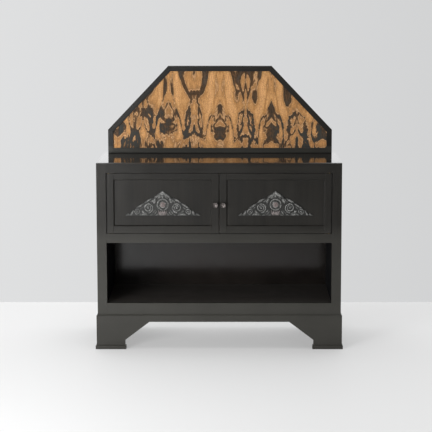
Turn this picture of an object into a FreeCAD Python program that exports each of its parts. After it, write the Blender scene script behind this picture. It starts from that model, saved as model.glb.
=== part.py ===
import FreeCAD, Part
import os

import Sketcher
from FreeCAD import Vector
from types import SimpleNamespace

# Driving sizes of the sideboard in millimetres: name, value, what it measures
SIZES = [
    ("cab_width", 1195.0, "carcass over its two side panels"),
    ("cab_depth", 450.0, "carcass from the front frame to the back"),
    ("cab_height", 921.0, "floor to the polished top"),
    ("plinth_height", 175.0, "floor to the top of the bracket plinth"),
    ("plinth_proud", 6.0, "plinth beyond the carcass at front and sides"),
    ("plinth_thick", 22.0, "plinth boards"),
    ("plinth_bevel_height", 9.0, "sloping top edge of the plinth"),
    ("arch_height", 136.0, "floor to the soffit of each plinth arch"),
    ("foot_shoulder", 45.0, "floor to the start of the slanted arch side"),
    ("front_foot_width", 140.0, "foot in the front and back board"),
    ("front_arch_run", 120.0, "slanted arch side along the front board"),
    ("side_foot_width", 110.0, "foot in the side board"),
    ("side_arch_run", 80.0, "slanted arch side along the side board"),
    ("pad_height", 20.0, "moulded pad under each foot"),
    ("pad_proud", 5.0, "pad beyond the foot all round"),
    ("pad_bevel", 4.0, "bevel along the pad's upper edge"),
    ("block_side", 40.0, "corner block in the plinth"),
    ("stile_width", 47.0, "front frame stile"),
    ("frame_thick", 22.0, "front frame, front to back"),
    ("top_rail_height", 47.5, "front frame top rail"),
    ("middle_rail_height", 46.0, "front frame middle rail"),
    ("bottom_rail_height", 54.0, "front frame bottom rail"),
    ("niche_height", 300.0, "open compartment between its rails"),
    ("arris", 1.0, "small bevel on exposed edges"),
    ("tenon_length", 30.0, "frame tenon"),
    ("tenon_thick", 8.0, "frame tenon"),
    ("tenon_shoulder", 8.0, "frame rail above and below its tenon"),
    ("side_thick", 20.0, "side panel"),
    ("top_thick", 20.0, "top board"),
    ("floor_thick", 18.0, "cupboard floor and compartment floor"),
    ("housing_depth", 6.0, "groove in the side panel that holds a floor"),
    ("back_thick", 8.0, "back panels"),
    ("back_lap", 10.0, "rebate of the side panel over the back panel"),
    ("back_clearance", 0.5, "back panel inside its rebate"),
    ("stop_height", 24.0, "door stop behind the top rail"),
    ("stop_thick", 12.0, "door stop behind the top rail"),
    ("stop_lap", 9.0, "door stop below the top rail"),
    ("stop_shortfall", 20.0, "door stop's end from the pivot, clear of the turning door"),
    ("door_thick", 21.0, "door frame"),
    ("door_setback", 0.7, "door face behind the front frame"),
    ("door_side_gap", 2.0, "running gap at the hinge stile"),
    ("door_meet_gap", 2.5, "running gap between the two doors"),
    ("door_edge_gap", 2.0, "running gap above and below a door"),
    ("door_stile_width", 35.0, "door stile"),
    ("door_top_width", 30.0, "door top rail"),
    ("door_bottom_width", 35.0, "door bottom rail"),
    ("door_tenon_length", 22.0, "door rail tenon"),
    ("door_tenon_thick", 7.0, "door rail tenon, and the panel groove"),
    ("door_tenon_shoulder", 9.0, "door rail on the outer side of its tenon"),
    ("panel_tongue", 7.0, "door panel inside its groove"),
    ("panel_clearance", 0.5, "door panel short of the groove's bottom"),
    ("bead_width", 4.0, "bead round the door panel"),
    ("bead_depth", 4.0, "bead in front of the door panel"),
    ("bead_bevel", 3.0, "bead's sloping face"),
    ("pivot_inset", 12.0, "pivot from the door's hinge edge"),
    ("pivot_depth", 6.0, "pivot behind the door's face"),
    ("pin_radius", 2.5, "pivot pin"),
    ("pin_clearance", 0.05, "pivot pin in the door leaf"),
    ("collar_radius", 4.5, "collar of the pivot pin"),
    ("collar_clearance", 0.3, "collar to door leaf"),
    ("leaf_thick", 3.0, "pivot hinge leaf"),
    ("leaf_width", 8.0, "pivot hinge leaf"),
    ("leaf_length", 30.0, "pivot hinge leaf"),
    ("leaf_nose", 7.0, "pivot to the near end of the leaf"),
    ("knob_drop", 6.25, "knob's centre below the middle of the door opening"),
    ("knob_length", 24.0, "knob in front of the door"),
    ("knob_rose_radius", 8.0, "knob's foot on the stile"),
    ("knob_rose_length", 4.0, "knob's foot on the stile"),
    ("knob_neck_radius", 4.5, "knob's neck"),
    ("knob_head_radius", 13.0, "knob's head"),
    ("knob_head_length", 6.4, "knob's head"),
    ("knob_rim", 3.2, "rim round the dish in the knob's head"),
    ("knob_dish", 3.5, "depth of the dish in the knob's head"),
    ("bolt_radius", 2.0, "knob bolt"),
    ("bolt_clearance", 0.3, "knob bolt in the stile"),
    ("bolt_bite", 12.0, "knob bolt inside the knob"),
    ("bolt_head_radius", 4.5, "knob bolt head"),
    ("bolt_head_height", 2.5, "knob bolt head"),
    ("carving_drop", 1.8, "carving's middle below the middle of the panel"),
    ("carving_ground", 2.5, "carving's ground on the panel"),
    ("leaf_relief", 4.5, "carved leaves above the panel"),
    ("scroll_relief", 6.5, "carved scrolls above the panel"),
    ("boss_relief", 10.0, "carved boss above the panel"),
    ("hood_end_inset", 21.5, "splashback inside the carcass at each end"),
    ("hood_height", 449.0, "splashback above the top board"),
    ("hood_side_height", 121.3, "upright side of the splashback"),
    ("hood_top_width", 529.5, "level top of the splashback"),
    ("hood_depth", 26.0, "splashback, front to back"),
    ("hood_board", 27.0, "frame of the splashback, seen from the front"),
    ("hood_panel_inset", 6.0, "figured panel behind the front edge"),
    ("hood_panel_thick", 6.0, "figured panel and its back board"),
    ("hood_groove", 5.0, "figured panel inside its frame"),
    ("dowel_radius", 5.0, "dowel between top board and splashback"),
    ("dowel_in_top", 14.0, "dowel inside the top board"),
    ("dowel_in_hood", 18.0, "dowel inside the splashback"),
    ("dowel_inset", 90.0, "outer dowel from the splashback's end"),
]

doc = FreeCAD.newDocument("Sideboard")
sheet = doc.addObject("Spreadsheet::Sheet", "Sizes")
for row, (alias, value, note) in enumerate(SIZES, 1):
    sheet.set("A%d" % row, alias)
    sheet.set("B%d" % row, str(value))
    sheet.setAlias("B%d" % row, alias)
    sheet.set("C%d" % row, note)
doc.recompute()


class Size:
    """A length that knows its number and the formula of named sizes that gives it."""

    def __init__(self, number, formula):
        self.number = number
        self.formula = formula

    def joined(self, sign, other, number):
        """The size that this one makes with another, or with a plain factor."""
        return Size(number, "(%s %s %s)" % (self.formula, sign, text_of(other)))

    def __add__(self, other):
        return self.joined("+", other, self.number + number_of(other))

    def __sub__(self, other):
        return self.joined("-", other, self.number - number_of(other))

    def __mul__(self, other):
        return self.joined("*", other, self.number * number_of(other))

    def __truediv__(self, other):
        return self.joined("/", other, self.number / number_of(other))

    def __neg__(self):
        return Size(-self.number, "(0 - %s)" % self.formula)


def number_of(amount):
    """The number of a size or of a plain factor."""
    return amount.number if isinstance(amount, Size) else amount


def text_of(amount):
    """The formula of a size, or a plain factor as text."""
    return amount.formula if isinstance(amount, Size) else str(amount)


def diagonal(run, rise):
    """The length of a slope with this run and rise."""
    number = (run.number ** 2 + rise.number ** 2) ** 0.5
    return Size(number, "sqrt(%s ^ 2 + %s ^ 2)" % (run.formula, rise.formula))


d = SimpleNamespace()
for alias, value, note in SIZES:
    setattr(d, alias, Size(float(sheet.get(alias)), "Sizes." + alias))


def is_zero(amount):
    """True for a place on an axis."""
    return round(number_of(amount), 6) == 0


pieces = []


def tie(item, prop, amount):
    """Binds a property to its formula on the sheet."""
    if isinstance(amount, Size):
        item.setExpression(prop, amount.formula)


def place(item, x, y, z):
    """Puts a piece's own corner or centre at its place in the sideboard."""
    tie(item, "Placement.Base.x", x)
    tie(item, "Placement.Base.y", y)
    tie(item, "Placement.Base.z", z)


def keep(item, name):
    """Names a finished piece and puts it on the list of pieces."""
    item.Label = name
    pieces.append(item)
    return item


def box(name, x, y, z):
    """A squared block between two corners; x, y and z are pairs of places."""
    item = doc.addObject("Part::Box", name)
    tie(item, "Length", x[1] - x[0])
    tie(item, "Width", y[1] - y[0])
    tie(item, "Height", z[1] - z[0])
    place(item, x[0], y[0], z[0])
    return item


def rod(name, x, y, z, radius, length, along_y=False):
    """A round rod that rises from its centre point, or runs back from it."""
    item = doc.addObject("Part::Cylinder", name)
    tie(item, "Radius", radius)
    tie(item, "Height", length)
    if along_y:
        item.Placement = FreeCAD.Placement(Vector(), FreeCAD.Rotation(Vector(1, 0, 0), -90))
    place(item, x, y, z)
    return item


def fused(name, parts):
    """One solid made of several."""
    item = doc.addObject("Part::MultiFuse", name)
    item.Shapes = parts
    return item


def group(name, parts):
    """Identical separate pieces under one name."""
    item = doc.addObject("Part::Compound", name)
    item.Links = parts
    return keep(item, name)


def new_body(name, x, y, z):
    """A body whose own corner lies at this place."""
    body = doc.addObject("PartDesign::Body", name)
    place(body, x, y, z)
    return body


def sketch_on(body, role, lift=0):
    """An empty sketch on one of the body's own planes, lifted along its normal."""
    plane = [item for item in body.Origin.OriginFeatures if item.Role == role][0]
    sketch = body.newObject("Sketcher::SketchObject", body.Name + "_outline")
    sketch.AttachmentSupport = [(plane, "")]
    sketch.MapMode = "FlatFace"
    tie(sketch, "AttachmentOffset.Base.z", lift)
    return sketch


def pin_point(sketch, line, spot, point):
    """Ties one point of a sketch to its distances from the two axes."""
    for kind, axis, amount in (("DistanceX", -2, point[0]), ("DistanceY", -1, point[1])):
        if is_zero(amount):
            sketch.addConstraint(Sketcher.Constraint("PointOnObject", line, spot, axis))
        else:
            index = sketch.addConstraint(Sketcher.Constraint(kind, -1, 1, line, spot, amount.number))
            sketch.setExpression("Constraints[%d]" % index, amount.formula)


def polygon(sketch, points):
    """A closed outline of straight edges."""
    first = sketch.GeometryCount
    spots = [Vector(number_of(x), number_of(y), 0) for x, y in points]
    for i, spot in enumerate(spots):
        sketch.addGeometry(Part.LineSegment(spot, spots[(i + 1) % len(spots)]), False)
    for i, point in enumerate(points):
        after = first + (i + 1) % len(spots)
        sketch.addConstraint(Sketcher.Constraint("Coincident", first + i, 2, after, 1))
        pin_point(sketch, first + i, 1, point)


def rectangle(sketch, across, up):
    """A rectangle between two pairs of places."""
    polygon(sketch, [(across[0], up[0]), (across[1], up[0]), (across[1], up[1]), (across[0], up[1])])


def circle(sketch, centre, radius):
    """A round outline."""
    spot = Vector(number_of(centre[0]), number_of(centre[1]), 0)
    line = sketch.addGeometry(Part.Circle(spot, Vector(0, 0, 1), radius.number), False)
    index = sketch.addConstraint(Sketcher.Constraint("Radius", line, radius.number))
    sketch.setExpression("Constraints[%d]" % index, radius.formula)
    pin_point(sketch, line, 3, centre)


def pad(body, sketch, length, flip=False):
    """Adds a thickness to a sketch."""
    feature = body.newObject("PartDesign::Pad", body.Name + "_pad")
    feature.Profile = sketch
    feature.Reversed = flip
    tie(feature, "Length", length)
    body.Tip = feature
    return feature


def pocket(body, sketch, depth, flip=False):
    """Cuts a sketch's outline into the body."""
    feature = body.newObject("PartDesign::Pocket", body.Name + "_pocket")
    feature.Profile = sketch
    feature.Reversed = flip
    tie(feature, "Length", depth)
    body.Tip = feature
    return feature


def bevel(body, amount, picked):
    """Bevels those edges of the body whose middle the test picks."""
    doc.recompute()
    base = body.Tip
    names = []
    for i, edge in enumerate(base.Shape.Edges, 1):
        middle = edge.valueAt((edge.FirstParameter + edge.LastParameter) / 2)
        if picked(middle):
            names.append("Edge%d" % i)
    feature = body.newObject("PartDesign::Chamfer", body.Name + "_bevel")
    feature.Base = (base, names)
    tie(feature, "Size", amount)
    body.Tip = feature
    return feature


def same(place_a, place_b):
    """True where two places agree."""
    return is_zero(number_of(place_a) - number_of(place_b))


SIDES = ("left", "right")


def span(side, near, far):
    """From and to in X of a piece that lies between two distances from the middle."""
    return (-far, -near) if side == "left" else (near, far)


def inward(side, near, far, distance):
    """A distance from the middle as a place along the piece's own X."""
    return far - distance if side == "left" else distance - near


# Main planes and lines that the pieces share
front = (d.knob_length - d.door_setback - d.cab_depth) / 2
frame_back = front + d.frame_thick
back = front + d.cab_depth
back_inner = back - d.back_thick
half_width = d.cab_width / 2
half_opening = half_width - d.stile_width
half_inner = half_width - d.side_thick
niche_bottom = d.plinth_height + d.bottom_rail_height
niche_top = niche_bottom + d.niche_height
cupboard_bottom = niche_top + d.middle_rail_height
cupboard_top = d.cab_height - d.top_rail_height
top_underside = d.cab_height - d.top_thick
plinth_front_y = front - d.plinth_proud
plinth_half = half_width + d.plinth_proud


# Foot pads: an L-shaped block under each corner of the plinth
def foot_pad(end, side):
    across = d.front_foot_width + d.pad_proud * 2
    wall = d.plinth_thick + d.pad_proud * 2
    x = span(side, plinth_half + d.pad_proud - across, plinth_half + d.pad_proud)
    if end == "front":
        along = d.side_foot_width + d.pad_proud * 2
        y = plinth_front_y - d.pad_proud
        corner = [(0, 0), (across, 0), (across, wall), (wall, wall), (wall, along), (0, along)]
    else:
        along = d.side_foot_width + d.pad_proud
        wall_start = along - wall + d.pad_proud
        y = back - along
        corner = [(0, 0), (wall, 0), (wall, wall_start), (across, wall_start), (across, along), (0, along)]
    if side == "right":
        corner = [(across - px, py) for px, py in reversed(corner)]
    name = "foot_pad_%s_%s" % (end, side)
    body = new_body(name, x[0], y, 0)
    sketch = sketch_on(body, "XY_Plane")
    polygon(sketch, corner)
    pad(body, sketch, d.pad_height)

    def on_open_rim(spot):
        against_back = end == "back" and same(spot.y, along)
        return same(spot.z, d.pad_height) and not against_back

    bevel(body, d.pad_bevel, on_open_rim)
    return keep(body, name)


for end in ("front", "back"):
    for side in SIDES:
        foot_pad(end, side)


# Bracket plinth: the front board is mitred to the side boards, the back board butts between them
def arch_outline(length, foot, run):
    """A plinth board seen from the front, from the pad's top upward."""
    shoulder = d.foot_shoulder - d.pad_height
    soffit = d.arch_height - d.pad_height
    top = d.plinth_height - d.pad_height
    return [
        (0, 0),
        (foot, 0),
        (foot, shoulder),
        (foot + run, soffit),
        (length - foot - run, soffit),
        (length - foot, shoulder),
        (length - foot, 0),
        (length, 0),
        (length, top),
        (0, top),
    ]


def plinth_front():
    length = plinth_half * 2
    top = d.plinth_height - d.pad_height
    body = new_body("plinth_front", -plinth_half, plinth_front_y, d.pad_height)
    outline = sketch_on(body, "XZ_Plane")
    polygon(outline, arch_outline(length, d.front_foot_width, d.front_arch_run))
    pad(body, outline, d.plinth_thick, flip=True)
    slope = sketch_on(body, "YZ_Plane")
    polygon(slope, [(0, top - d.plinth_bevel_height), (d.plinth_proud, top), (0, top)])
    pocket(body, slope, length, flip=True)
    mitres = sketch_on(body, "XY_Plane")
    polygon(mitres, [(0, 0), (d.plinth_thick, d.plinth_thick), (0, d.plinth_thick)])
    polygon(mitres, [(length, 0), (length, d.plinth_thick), (length - d.plinth_thick, d.plinth_thick)])
    pocket(body, mitres, top, flip=True)
    return keep(body, "plinth_front")


def plinth_side(side):
    length = d.cab_depth + d.plinth_proud
    top = d.plinth_height - d.pad_height
    x = span(side, plinth_half - d.plinth_thick, plinth_half)
    name = "plinth_" + side
    body = new_body(name, x[0], plinth_front_y, d.pad_height)
    outline = sketch_on(body, "YZ_Plane")
    polygon(outline, arch_outline(length, d.side_foot_width, d.side_arch_run))
    pad(body, outline, d.plinth_thick)
    outer, inner = (0, d.plinth_thick) if side == "left" else (d.plinth_thick, 0)
    shelf = d.plinth_proud if side == "left" else d.plinth_thick - d.plinth_proud
    slope = sketch_on(body, "XZ_Plane")
    polygon(slope, [(outer, top - d.plinth_bevel_height), (shelf, top), (outer, top)])
    pocket(body, slope, length)
    mitre = sketch_on(body, "XY_Plane")
    polygon(mitre, [(outer, 0), (inner, 0), (inner, d.plinth_thick)])
    pocket(body, mitre, top, flip=True)
    return keep(body, name)


def plinth_back():
    length = (plinth_half - d.plinth_thick) * 2
    body = new_body("plinth_back", d.plinth_thick - plinth_half, back - d.plinth_thick, d.pad_height)
    outline = sketch_on(body, "XZ_Plane")
    polygon(outline, arch_outline(length, d.front_foot_width - d.plinth_thick, d.front_arch_run))
    pad(body, outline, d.plinth_thick, flip=True)
    return keep(body, "plinth_back")


def corner_blocks():
    parts = []
    for side in SIDES:
        x = span(side, plinth_half - d.plinth_thick - d.block_side, plinth_half - d.plinth_thick)
        near = plinth_front_y + d.plinth_thick
        far = back - d.plinth_thick
        for end, y in (("front", (near, near + d.block_side)), ("back", (far - d.block_side, far))):
            block = box("corner_block_%s_%s" % (end, side), x, y, (d.pad_height, d.plinth_height))
            parts.append(block)
    return group("plinth_corner_blocks", parts)


plinth_front()
for side in SIDES:
    plinth_side(side)
plinth_back()
corner_blocks()


# Front frame: two stiles and three rails with mortise and tenon joints
def frame_stile(side):
    name = "frame_stile_" + side
    x = span(side, half_opening, half_width)
    body = new_body(name, x[0], front, d.plinth_height)
    outer = 0 if side == "left" else d.stile_width
    inset = d.arris if side == "left" else d.stile_width - d.arris
    inner = d.stile_width if side == "left" else 0
    plan = sketch_on(body, "XY_Plane")
    corners = [(inset, 0), (inner, 0), (inner, d.frame_thick), (outer, d.frame_thick), (outer, d.arris)]
    polygon(plan, corners if side == "left" else list(reversed(corners)))
    pad(body, plan, d.cab_height - d.plinth_height)
    cheek = (d.frame_thick - d.tenon_thick) / 2
    mortises = sketch_on(body, "YZ_Plane", inner)
    for low, high in rail_levels():
        start = low - d.plinth_height + d.tenon_shoulder
        end = high - d.plinth_height - d.tenon_shoulder
        rectangle(mortises, (cheek, cheek + d.tenon_thick), (start, end))
    pocket(body, mortises, d.tenon_length, flip=side == "right")
    return keep(body, name)


def rail_levels():
    """Bottom and top of the three frame rails."""
    return (
        (d.plinth_height, niche_bottom),
        (niche_top, cupboard_bottom),
        (cupboard_top, d.cab_height),
    )


def frame_rail(name, low, high, recess=None):
    """A frame rail with its two tenons, and recesses for the hinge leaves on one edge."""
    length = (half_opening + d.tenon_length) * 2
    height = high - low
    body = new_body(name, -half_opening - d.tenon_length, front, low)
    face = sketch_on(body, "XZ_Plane")
    rectangle(face, (d.tenon_length, length - d.tenon_length), (0, height))
    pad(body, face, d.frame_thick, flip=True)
    cheek = (d.frame_thick - d.tenon_thick) / 2
    tenons = sketch_on(body, "XZ_Plane", -cheek)
    rectangle(tenons, (0, length), (d.tenon_shoulder, height - d.tenon_shoulder))
    pad(body, tenons, d.tenon_thick, flip=True)
    if recess:
        level = height if recess == "top" else 0
        leaves = sketch_on(body, "XY_Plane", level)
        for side in SIDES:
            x = leaf_span(side)
            shift = half_opening + d.tenon_length
            rectangle(leaves, (x[0] + shift, x[1] + shift), (leaf_near - front, leaf_far - front))
        pocket(body, leaves, d.leaf_thick, flip=recess != "top")
    return keep(body, name)


# Pivot hinges: where their leaves lie, shared by rails and doors
pivot_out = half_opening - d.door_side_gap - d.pivot_inset
pivot_y = front + d.door_setback + d.pivot_depth
leaf_near = pivot_y - d.leaf_width / 2
leaf_far = pivot_y + d.leaf_width / 2


def leaf_span(side):
    """From and to in X of a hinge leaf."""
    return span(side, pivot_out + d.leaf_nose - d.leaf_length, pivot_out + d.leaf_nose)


for side in SIDES:
    frame_stile(side)
levels = rail_levels()
frame_rail("frame_rail_bottom", levels[0][0], levels[0][1])
frame_rail("frame_rail_middle", levels[1][0], levels[1][1], "top")
frame_rail("frame_rail_top", levels[2][0], levels[2][1], "bottom")


# Carcass: side panels with housings for the floors and a rebate for the back, linings, floors, back and top
def side_panel(side):
    name = "side_panel_" + side
    x = span(side, half_inner, half_width)
    depth = back - frame_back
    height = top_underside - d.plinth_height
    body = new_body(name, x[0], frame_back, d.plinth_height)
    outer, inner = (0, d.side_thick) if side == "left" else (d.side_thick, 0)
    step = d.side_thick - d.back_lap if side == "left" else d.back_lap
    corners = [
        (outer, 0),
        (inner, 0),
        (inner, depth - d.back_thick),
        (step, depth - d.back_thick),
        (step, depth),
        (outer, depth),
    ]
    plan = sketch_on(body, "XY_Plane")
    polygon(plan, corners if side == "left" else list(reversed(corners)))
    pad(body, plan, height)
    housings = sketch_on(body, "YZ_Plane", inner)
    for top in (niche_bottom, cupboard_bottom):
        start = top - d.floor_thick - d.plinth_height
        rectangle(housings, (0, depth - d.back_thick), (start, start + d.floor_thick))
    pocket(body, housings, d.housing_depth, flip=side == "right")
    return keep(body, name)


def floor_board(name, top):
    x = (-half_inner - d.housing_depth, half_inner + d.housing_depth)
    return keep(box(name, x, (frame_back, back_inner), (top - d.floor_thick, top)), name)


def niche_lining(side):
    """A lining board that brings the side of the open compartment flush with the frame stile."""
    name = "niche_lining_" + side
    x = span(side, half_opening, half_inner)
    z = (niche_bottom, cupboard_bottom - d.floor_thick)
    return keep(box(name, x, (frame_back, back_inner), z), name)


def back_panel(name, low, high):
    reach = half_inner + d.back_lap - d.back_clearance
    return keep(box(name, (-reach, reach), (back_inner, back), (low, high)), name)


# Dowels stand at these shares of the outer dowel's distance from the middle
DOWEL_PLACE_SHARES = (-1, 0, 1)


def dowel_spots():
    """Where the dowels stand along the splashback, from its middle."""
    outer = hood_half - d.dowel_inset
    return [outer * share for share in DOWEL_PLACE_SHARES]


def top_board():
    depth = back - frame_back
    body = new_body("top_board", -half_width, frame_back, top_underside)
    plan = sketch_on(body, "XY_Plane")
    rectangle(plan, (0, d.cab_width), (0, depth))
    pad(body, plan, d.top_thick)
    holes = sketch_on(body, "XY_Plane", d.top_thick)
    for spot in dowel_spots():
        circle(holes, (spot + half_width, dowel_y - frame_back), d.dowel_radius)
    pocket(body, holes, d.dowel_in_top)
    return keep(body, "top_board")


def door_stop():
    reach = pivot_out - d.stop_shortfall
    low = cupboard_top - d.stop_lap
    stop = box("door_stop", (-reach, reach), (frame_back, frame_back + d.stop_thick), (low, low + d.stop_height))
    return keep(stop, "door_stop")


hood_width = d.cab_width - d.hood_end_inset * 2
hood_half = hood_width / 2
hood_front = back - d.hood_depth
dowel_y = back - d.hood_depth / 2
for side in SIDES:
    side_panel(side)
    niche_lining(side)
floor_board("niche_floor", niche_bottom)
floor_board("cupboard_floor", cupboard_bottom)
split = cupboard_bottom - d.floor_thick / 2
back_panel("back_panel_lower", d.plinth_height, split)
back_panel("back_panel_upper", split, top_underside)
top_board()
door_stop()


# Doors: mortised frame, grooved panel, bead, carving, knob and the moving hinge leaves
door_near = d.door_meet_gap / 2
door_far = half_opening - d.door_side_gap
door_low = cupboard_bottom + d.door_edge_gap
door_high = cupboard_top - d.door_edge_gap
door_front = front + d.door_setback
door_height = door_high - door_low
groove_front = (d.door_thick - d.door_tenon_thick) / 2
panel_front = door_front + groove_front
knob_out = door_near + d.door_stile_width / 2
knob_level = (cupboard_bottom + cupboard_top) / 2 - d.knob_drop
frame_inner_near = door_near + d.door_stile_width
frame_inner_far = door_far - d.door_stile_width
frame_inner_low = door_low + d.door_bottom_width
frame_inner_high = door_high - d.door_top_width


def door_stile(side, place_name):
    """A door stile: panel groove and mortises on the inner edge."""
    name = "door_%s_%s_stile" % (side, place_name)
    if place_name == "hinge":
        near, far, groove_at = frame_inner_far, door_far, frame_inner_far
    else:
        near, far, groove_at = door_near, frame_inner_near, frame_inner_near
    x = span(side, near, far)
    body = new_body(name, x[0], door_front, door_low)
    plan = sketch_on(body, "XY_Plane")
    width = d.door_stile_width
    corners = [
        (d.arris, 0),
        (width - d.arris, 0),
        (width, d.arris),
        (width, d.door_thick),
        (0, d.door_thick),
        (0, d.arris),
    ]
    polygon(plan, corners)
    pad(body, plan, door_height)
    level = inward(side, near, far, groove_at)
    flip = is_zero(level)
    low = d.door_bottom_width - d.panel_tongue
    high = door_height - d.door_top_width + d.panel_tongue
    cheeks = (groove_front, groove_front + d.door_tenon_thick)
    groove = sketch_on(body, "YZ_Plane", level)
    rectangle(groove, cheeks, (low, high))
    pocket(body, groove, d.panel_tongue, flip=flip)
    mortises = sketch_on(body, "YZ_Plane", level)
    rectangle(mortises, cheeks, (d.door_tenon_shoulder, low))
    rectangle(mortises, cheeks, (high, door_height - d.door_tenon_shoulder))
    pocket(body, mortises, d.door_tenon_length, flip=flip)
    if place_name == "hinge":
        leaf = leaf_span(side)
        across = (leaf[0] - x[0], leaf[1] - x[0])
        along = (leaf_near - door_front, leaf_far - door_front)
        for lift, turn in ((0, True), (door_height, False)):
            seat = sketch_on(body, "XY_Plane", lift)
            rectangle(seat, across, along)
            pocket(body, seat, d.leaf_thick, flip=turn)
    else:
        hole = sketch_on(body, "XZ_Plane")
        circle(hole, (width / 2, knob_level - door_low), d.bolt_radius + d.bolt_clearance)
        pocket(body, hole, d.door_thick)
    return keep(body, name)


def door_rail(side, place_name):
    """A door rail: tenons at both ends and the panel groove."""
    name = "door_%s_%s_rail" % (side, place_name)
    low, high = (door_low, frame_inner_low) if place_name == "bottom" else (frame_inner_high, door_high)
    height = high - low
    near = frame_inner_near - d.door_tenon_length
    far = frame_inner_far + d.door_tenon_length
    x = span(side, near, far)
    length = far - near
    body = new_body(name, x[0], door_front, low)
    face = sketch_on(body, "XZ_Plane")
    rectangle(face, (d.door_tenon_length, length - d.door_tenon_length), (0, height))
    pad(body, face, d.door_thick, flip=True)
    tenons = sketch_on(body, "XZ_Plane", -groove_front)
    if place_name == "bottom":
        up = (d.door_tenon_shoulder, height - d.panel_tongue)
    else:
        up = (d.panel_tongue, height - d.door_tenon_shoulder)
    rectangle(tenons, (0, length), up)
    pad(body, tenons, d.door_tenon_thick, flip=True)
    groove = sketch_on(body, "YZ_Plane", d.door_tenon_length)
    depth = (height - d.panel_tongue, height) if place_name == "bottom" else (0, d.panel_tongue)
    rectangle(groove, (groove_front, groove_front + d.door_tenon_thick), depth)
    pocket(body, groove, length - d.door_tenon_length * 2, flip=True)
    return keep(body, name)


def door_panel(side):
    """A flat panel whose edges sit in the groove of the frame."""
    name = "door_%s_panel" % side
    reach = d.panel_tongue - d.panel_clearance
    x = span(side, frame_inner_near - reach, frame_inner_far + reach)
    z = (frame_inner_low - reach, frame_inner_high + reach)
    return keep(box(name, x, (panel_front, panel_front + d.door_tenon_thick), z), name)


def door_bead(side):
    """A thin bevelled bead that frames the panel on its front."""
    name = "door_%s_bead" % side
    x = span(side, frame_inner_near, frame_inner_far)
    length = frame_inner_far - frame_inner_near
    height = frame_inner_high - frame_inner_low
    body = new_body(name, x[0], panel_front - d.bead_depth, frame_inner_low)
    ring = sketch_on(body, "XZ_Plane")
    rectangle(ring, (0, length), (0, height))
    rectangle(ring, (d.bead_width, length - d.bead_width), (d.bead_width, height - d.bead_width))
    pad(body, ring, d.bead_depth, flip=True)
    edge = d.bead_width

    def on_inner_front(spot):
        across = same(spot.x, edge) or same(spot.x, length - edge)
        up = same(spot.z, edge) or same(spot.z, height - edge)
        return is_zero(spot.y) and (across or up)

    bevel(body, d.bead_bevel, on_inner_front)
    return keep(body, name)


def knob(side):
    """A turned knob: rose, neck and a dished head; its back is bored for the bolt."""
    x = span(side, knob_out, knob_out)[0]
    name = "door_%s_knob" % side
    body = new_body(name, x, door_front - d.knob_length, knob_level)
    rose_front = d.knob_length - d.knob_rose_length
    bore_end = d.knob_length - d.bolt_bite
    dish_radius = d.knob_head_radius - d.knob_rim
    profile = sketch_on(body, "YZ_Plane")
    outline = [
        (d.knob_dish, 0),
        (d.knob_dish, dish_radius),
        (0, dish_radius),
        (0, d.knob_head_radius),
        (d.knob_head_length, d.knob_head_radius),
        (d.knob_head_length, d.knob_neck_radius),
        (rose_front, d.knob_neck_radius),
        (rose_front, d.knob_rose_radius),
        (d.knob_length, d.knob_rose_radius),
        (d.knob_length, d.bolt_radius),
        (bore_end, d.bolt_radius),
        (bore_end, 0),
    ]
    polygon(profile, outline)
    turning = body.newObject("PartDesign::Revolution", name + "_turning")
    turning.Profile = profile
    turning.ReferenceAxis = (profile, ["H_Axis"])
    body.Tip = turning
    return keep(body, name)


def knob_bolt(side):
    """The bolt that holds the knob from inside the door."""
    x = span(side, knob_out, knob_out)[0]
    name = "door_%s_knob_bolt" % side
    start = door_front - d.bolt_bite
    end = door_front + d.door_thick
    parts = [
        rod(name + "_shank", x, start, knob_level, d.bolt_radius, end - start, True),
        rod(name + "_head", x, end, knob_level, d.bolt_head_radius, d.bolt_head_height, True),
    ]
    return keep(fused(name, parts), name)


# Carving: width and height as shares of the panel that shows inside the door frame
CARVING_SIZE_SHARES = (0.771, 0.54)

# Its shapes as shares of its width from the middle, and of its height from the foot
LEFT_EDGE_SHARES = [
    (-0.5, 0),
    (-0.457, 0.11),
    (-0.437, 0.05),
    (-0.402, 0.23),
    (-0.375, 0.17),
    (-0.35, 0.34),
    (-0.255, 0.51),
    (-0.235, 0.48),
    (-0.225, 0.58),
    (-0.14, 0.72),
    (-0.122, 0.68),
    (-0.1, 0.79),
]
APEX_SHARES = (0, 1)
CHEVRON_SHARES = [(-0.095, 0.77), (0, 0.975), (0.095, 0.77), (0.072, 0.73), (0, 0.89), (-0.072, 0.73)]
CREST_LEAF_SHARES = [(0, 0.855), (0.04, 0.76), (0, 0.7), (-0.04, 0.76)]
FAN_SHARES = [(-0.11, 0.02), (0.11, 0.02), (0.04, 0.195), (-0.04, 0.195)]
LEFT_LEAF_SHARES = [
    [(-0.48, 0.02), (-0.442, 0.02), (-0.456, 0.09)],
    [(-0.428, 0.03), (-0.385, 0.05), (-0.402, 0.2)],
    [(-0.34, 0.325), (-0.262, 0.4), (-0.258, 0.48)],
    [(-0.218, 0.555), (-0.15, 0.6), (-0.142, 0.69)],
    [(-0.17, 0.04), (-0.125, 0.02), (-0.085, 0.2), (-0.105, 0.25)],
]
LARGE_SCROLL_SHARES = (0.19, 0.315)
SMALL_SCROLL_SHARES = (0.335, 0.167)
BOSS_SHARES = (0, 0.443)

# Radii as shares of its height
LARGE_SCROLL_RADIUS_SHARE = 0.18
LARGE_SCROLL_HOLLOW_SHARE = 0.1
SMALL_SCROLL_RADIUS_SHARE = 0.11
BOSS_RING_SHARE = 0.234
BOSS_RADIUS_SHARE = 0.148


def mirrored(points):
    """The same outline on the other side of the middle."""
    return [(-across, up) for across, up in reversed(points)]


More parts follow.
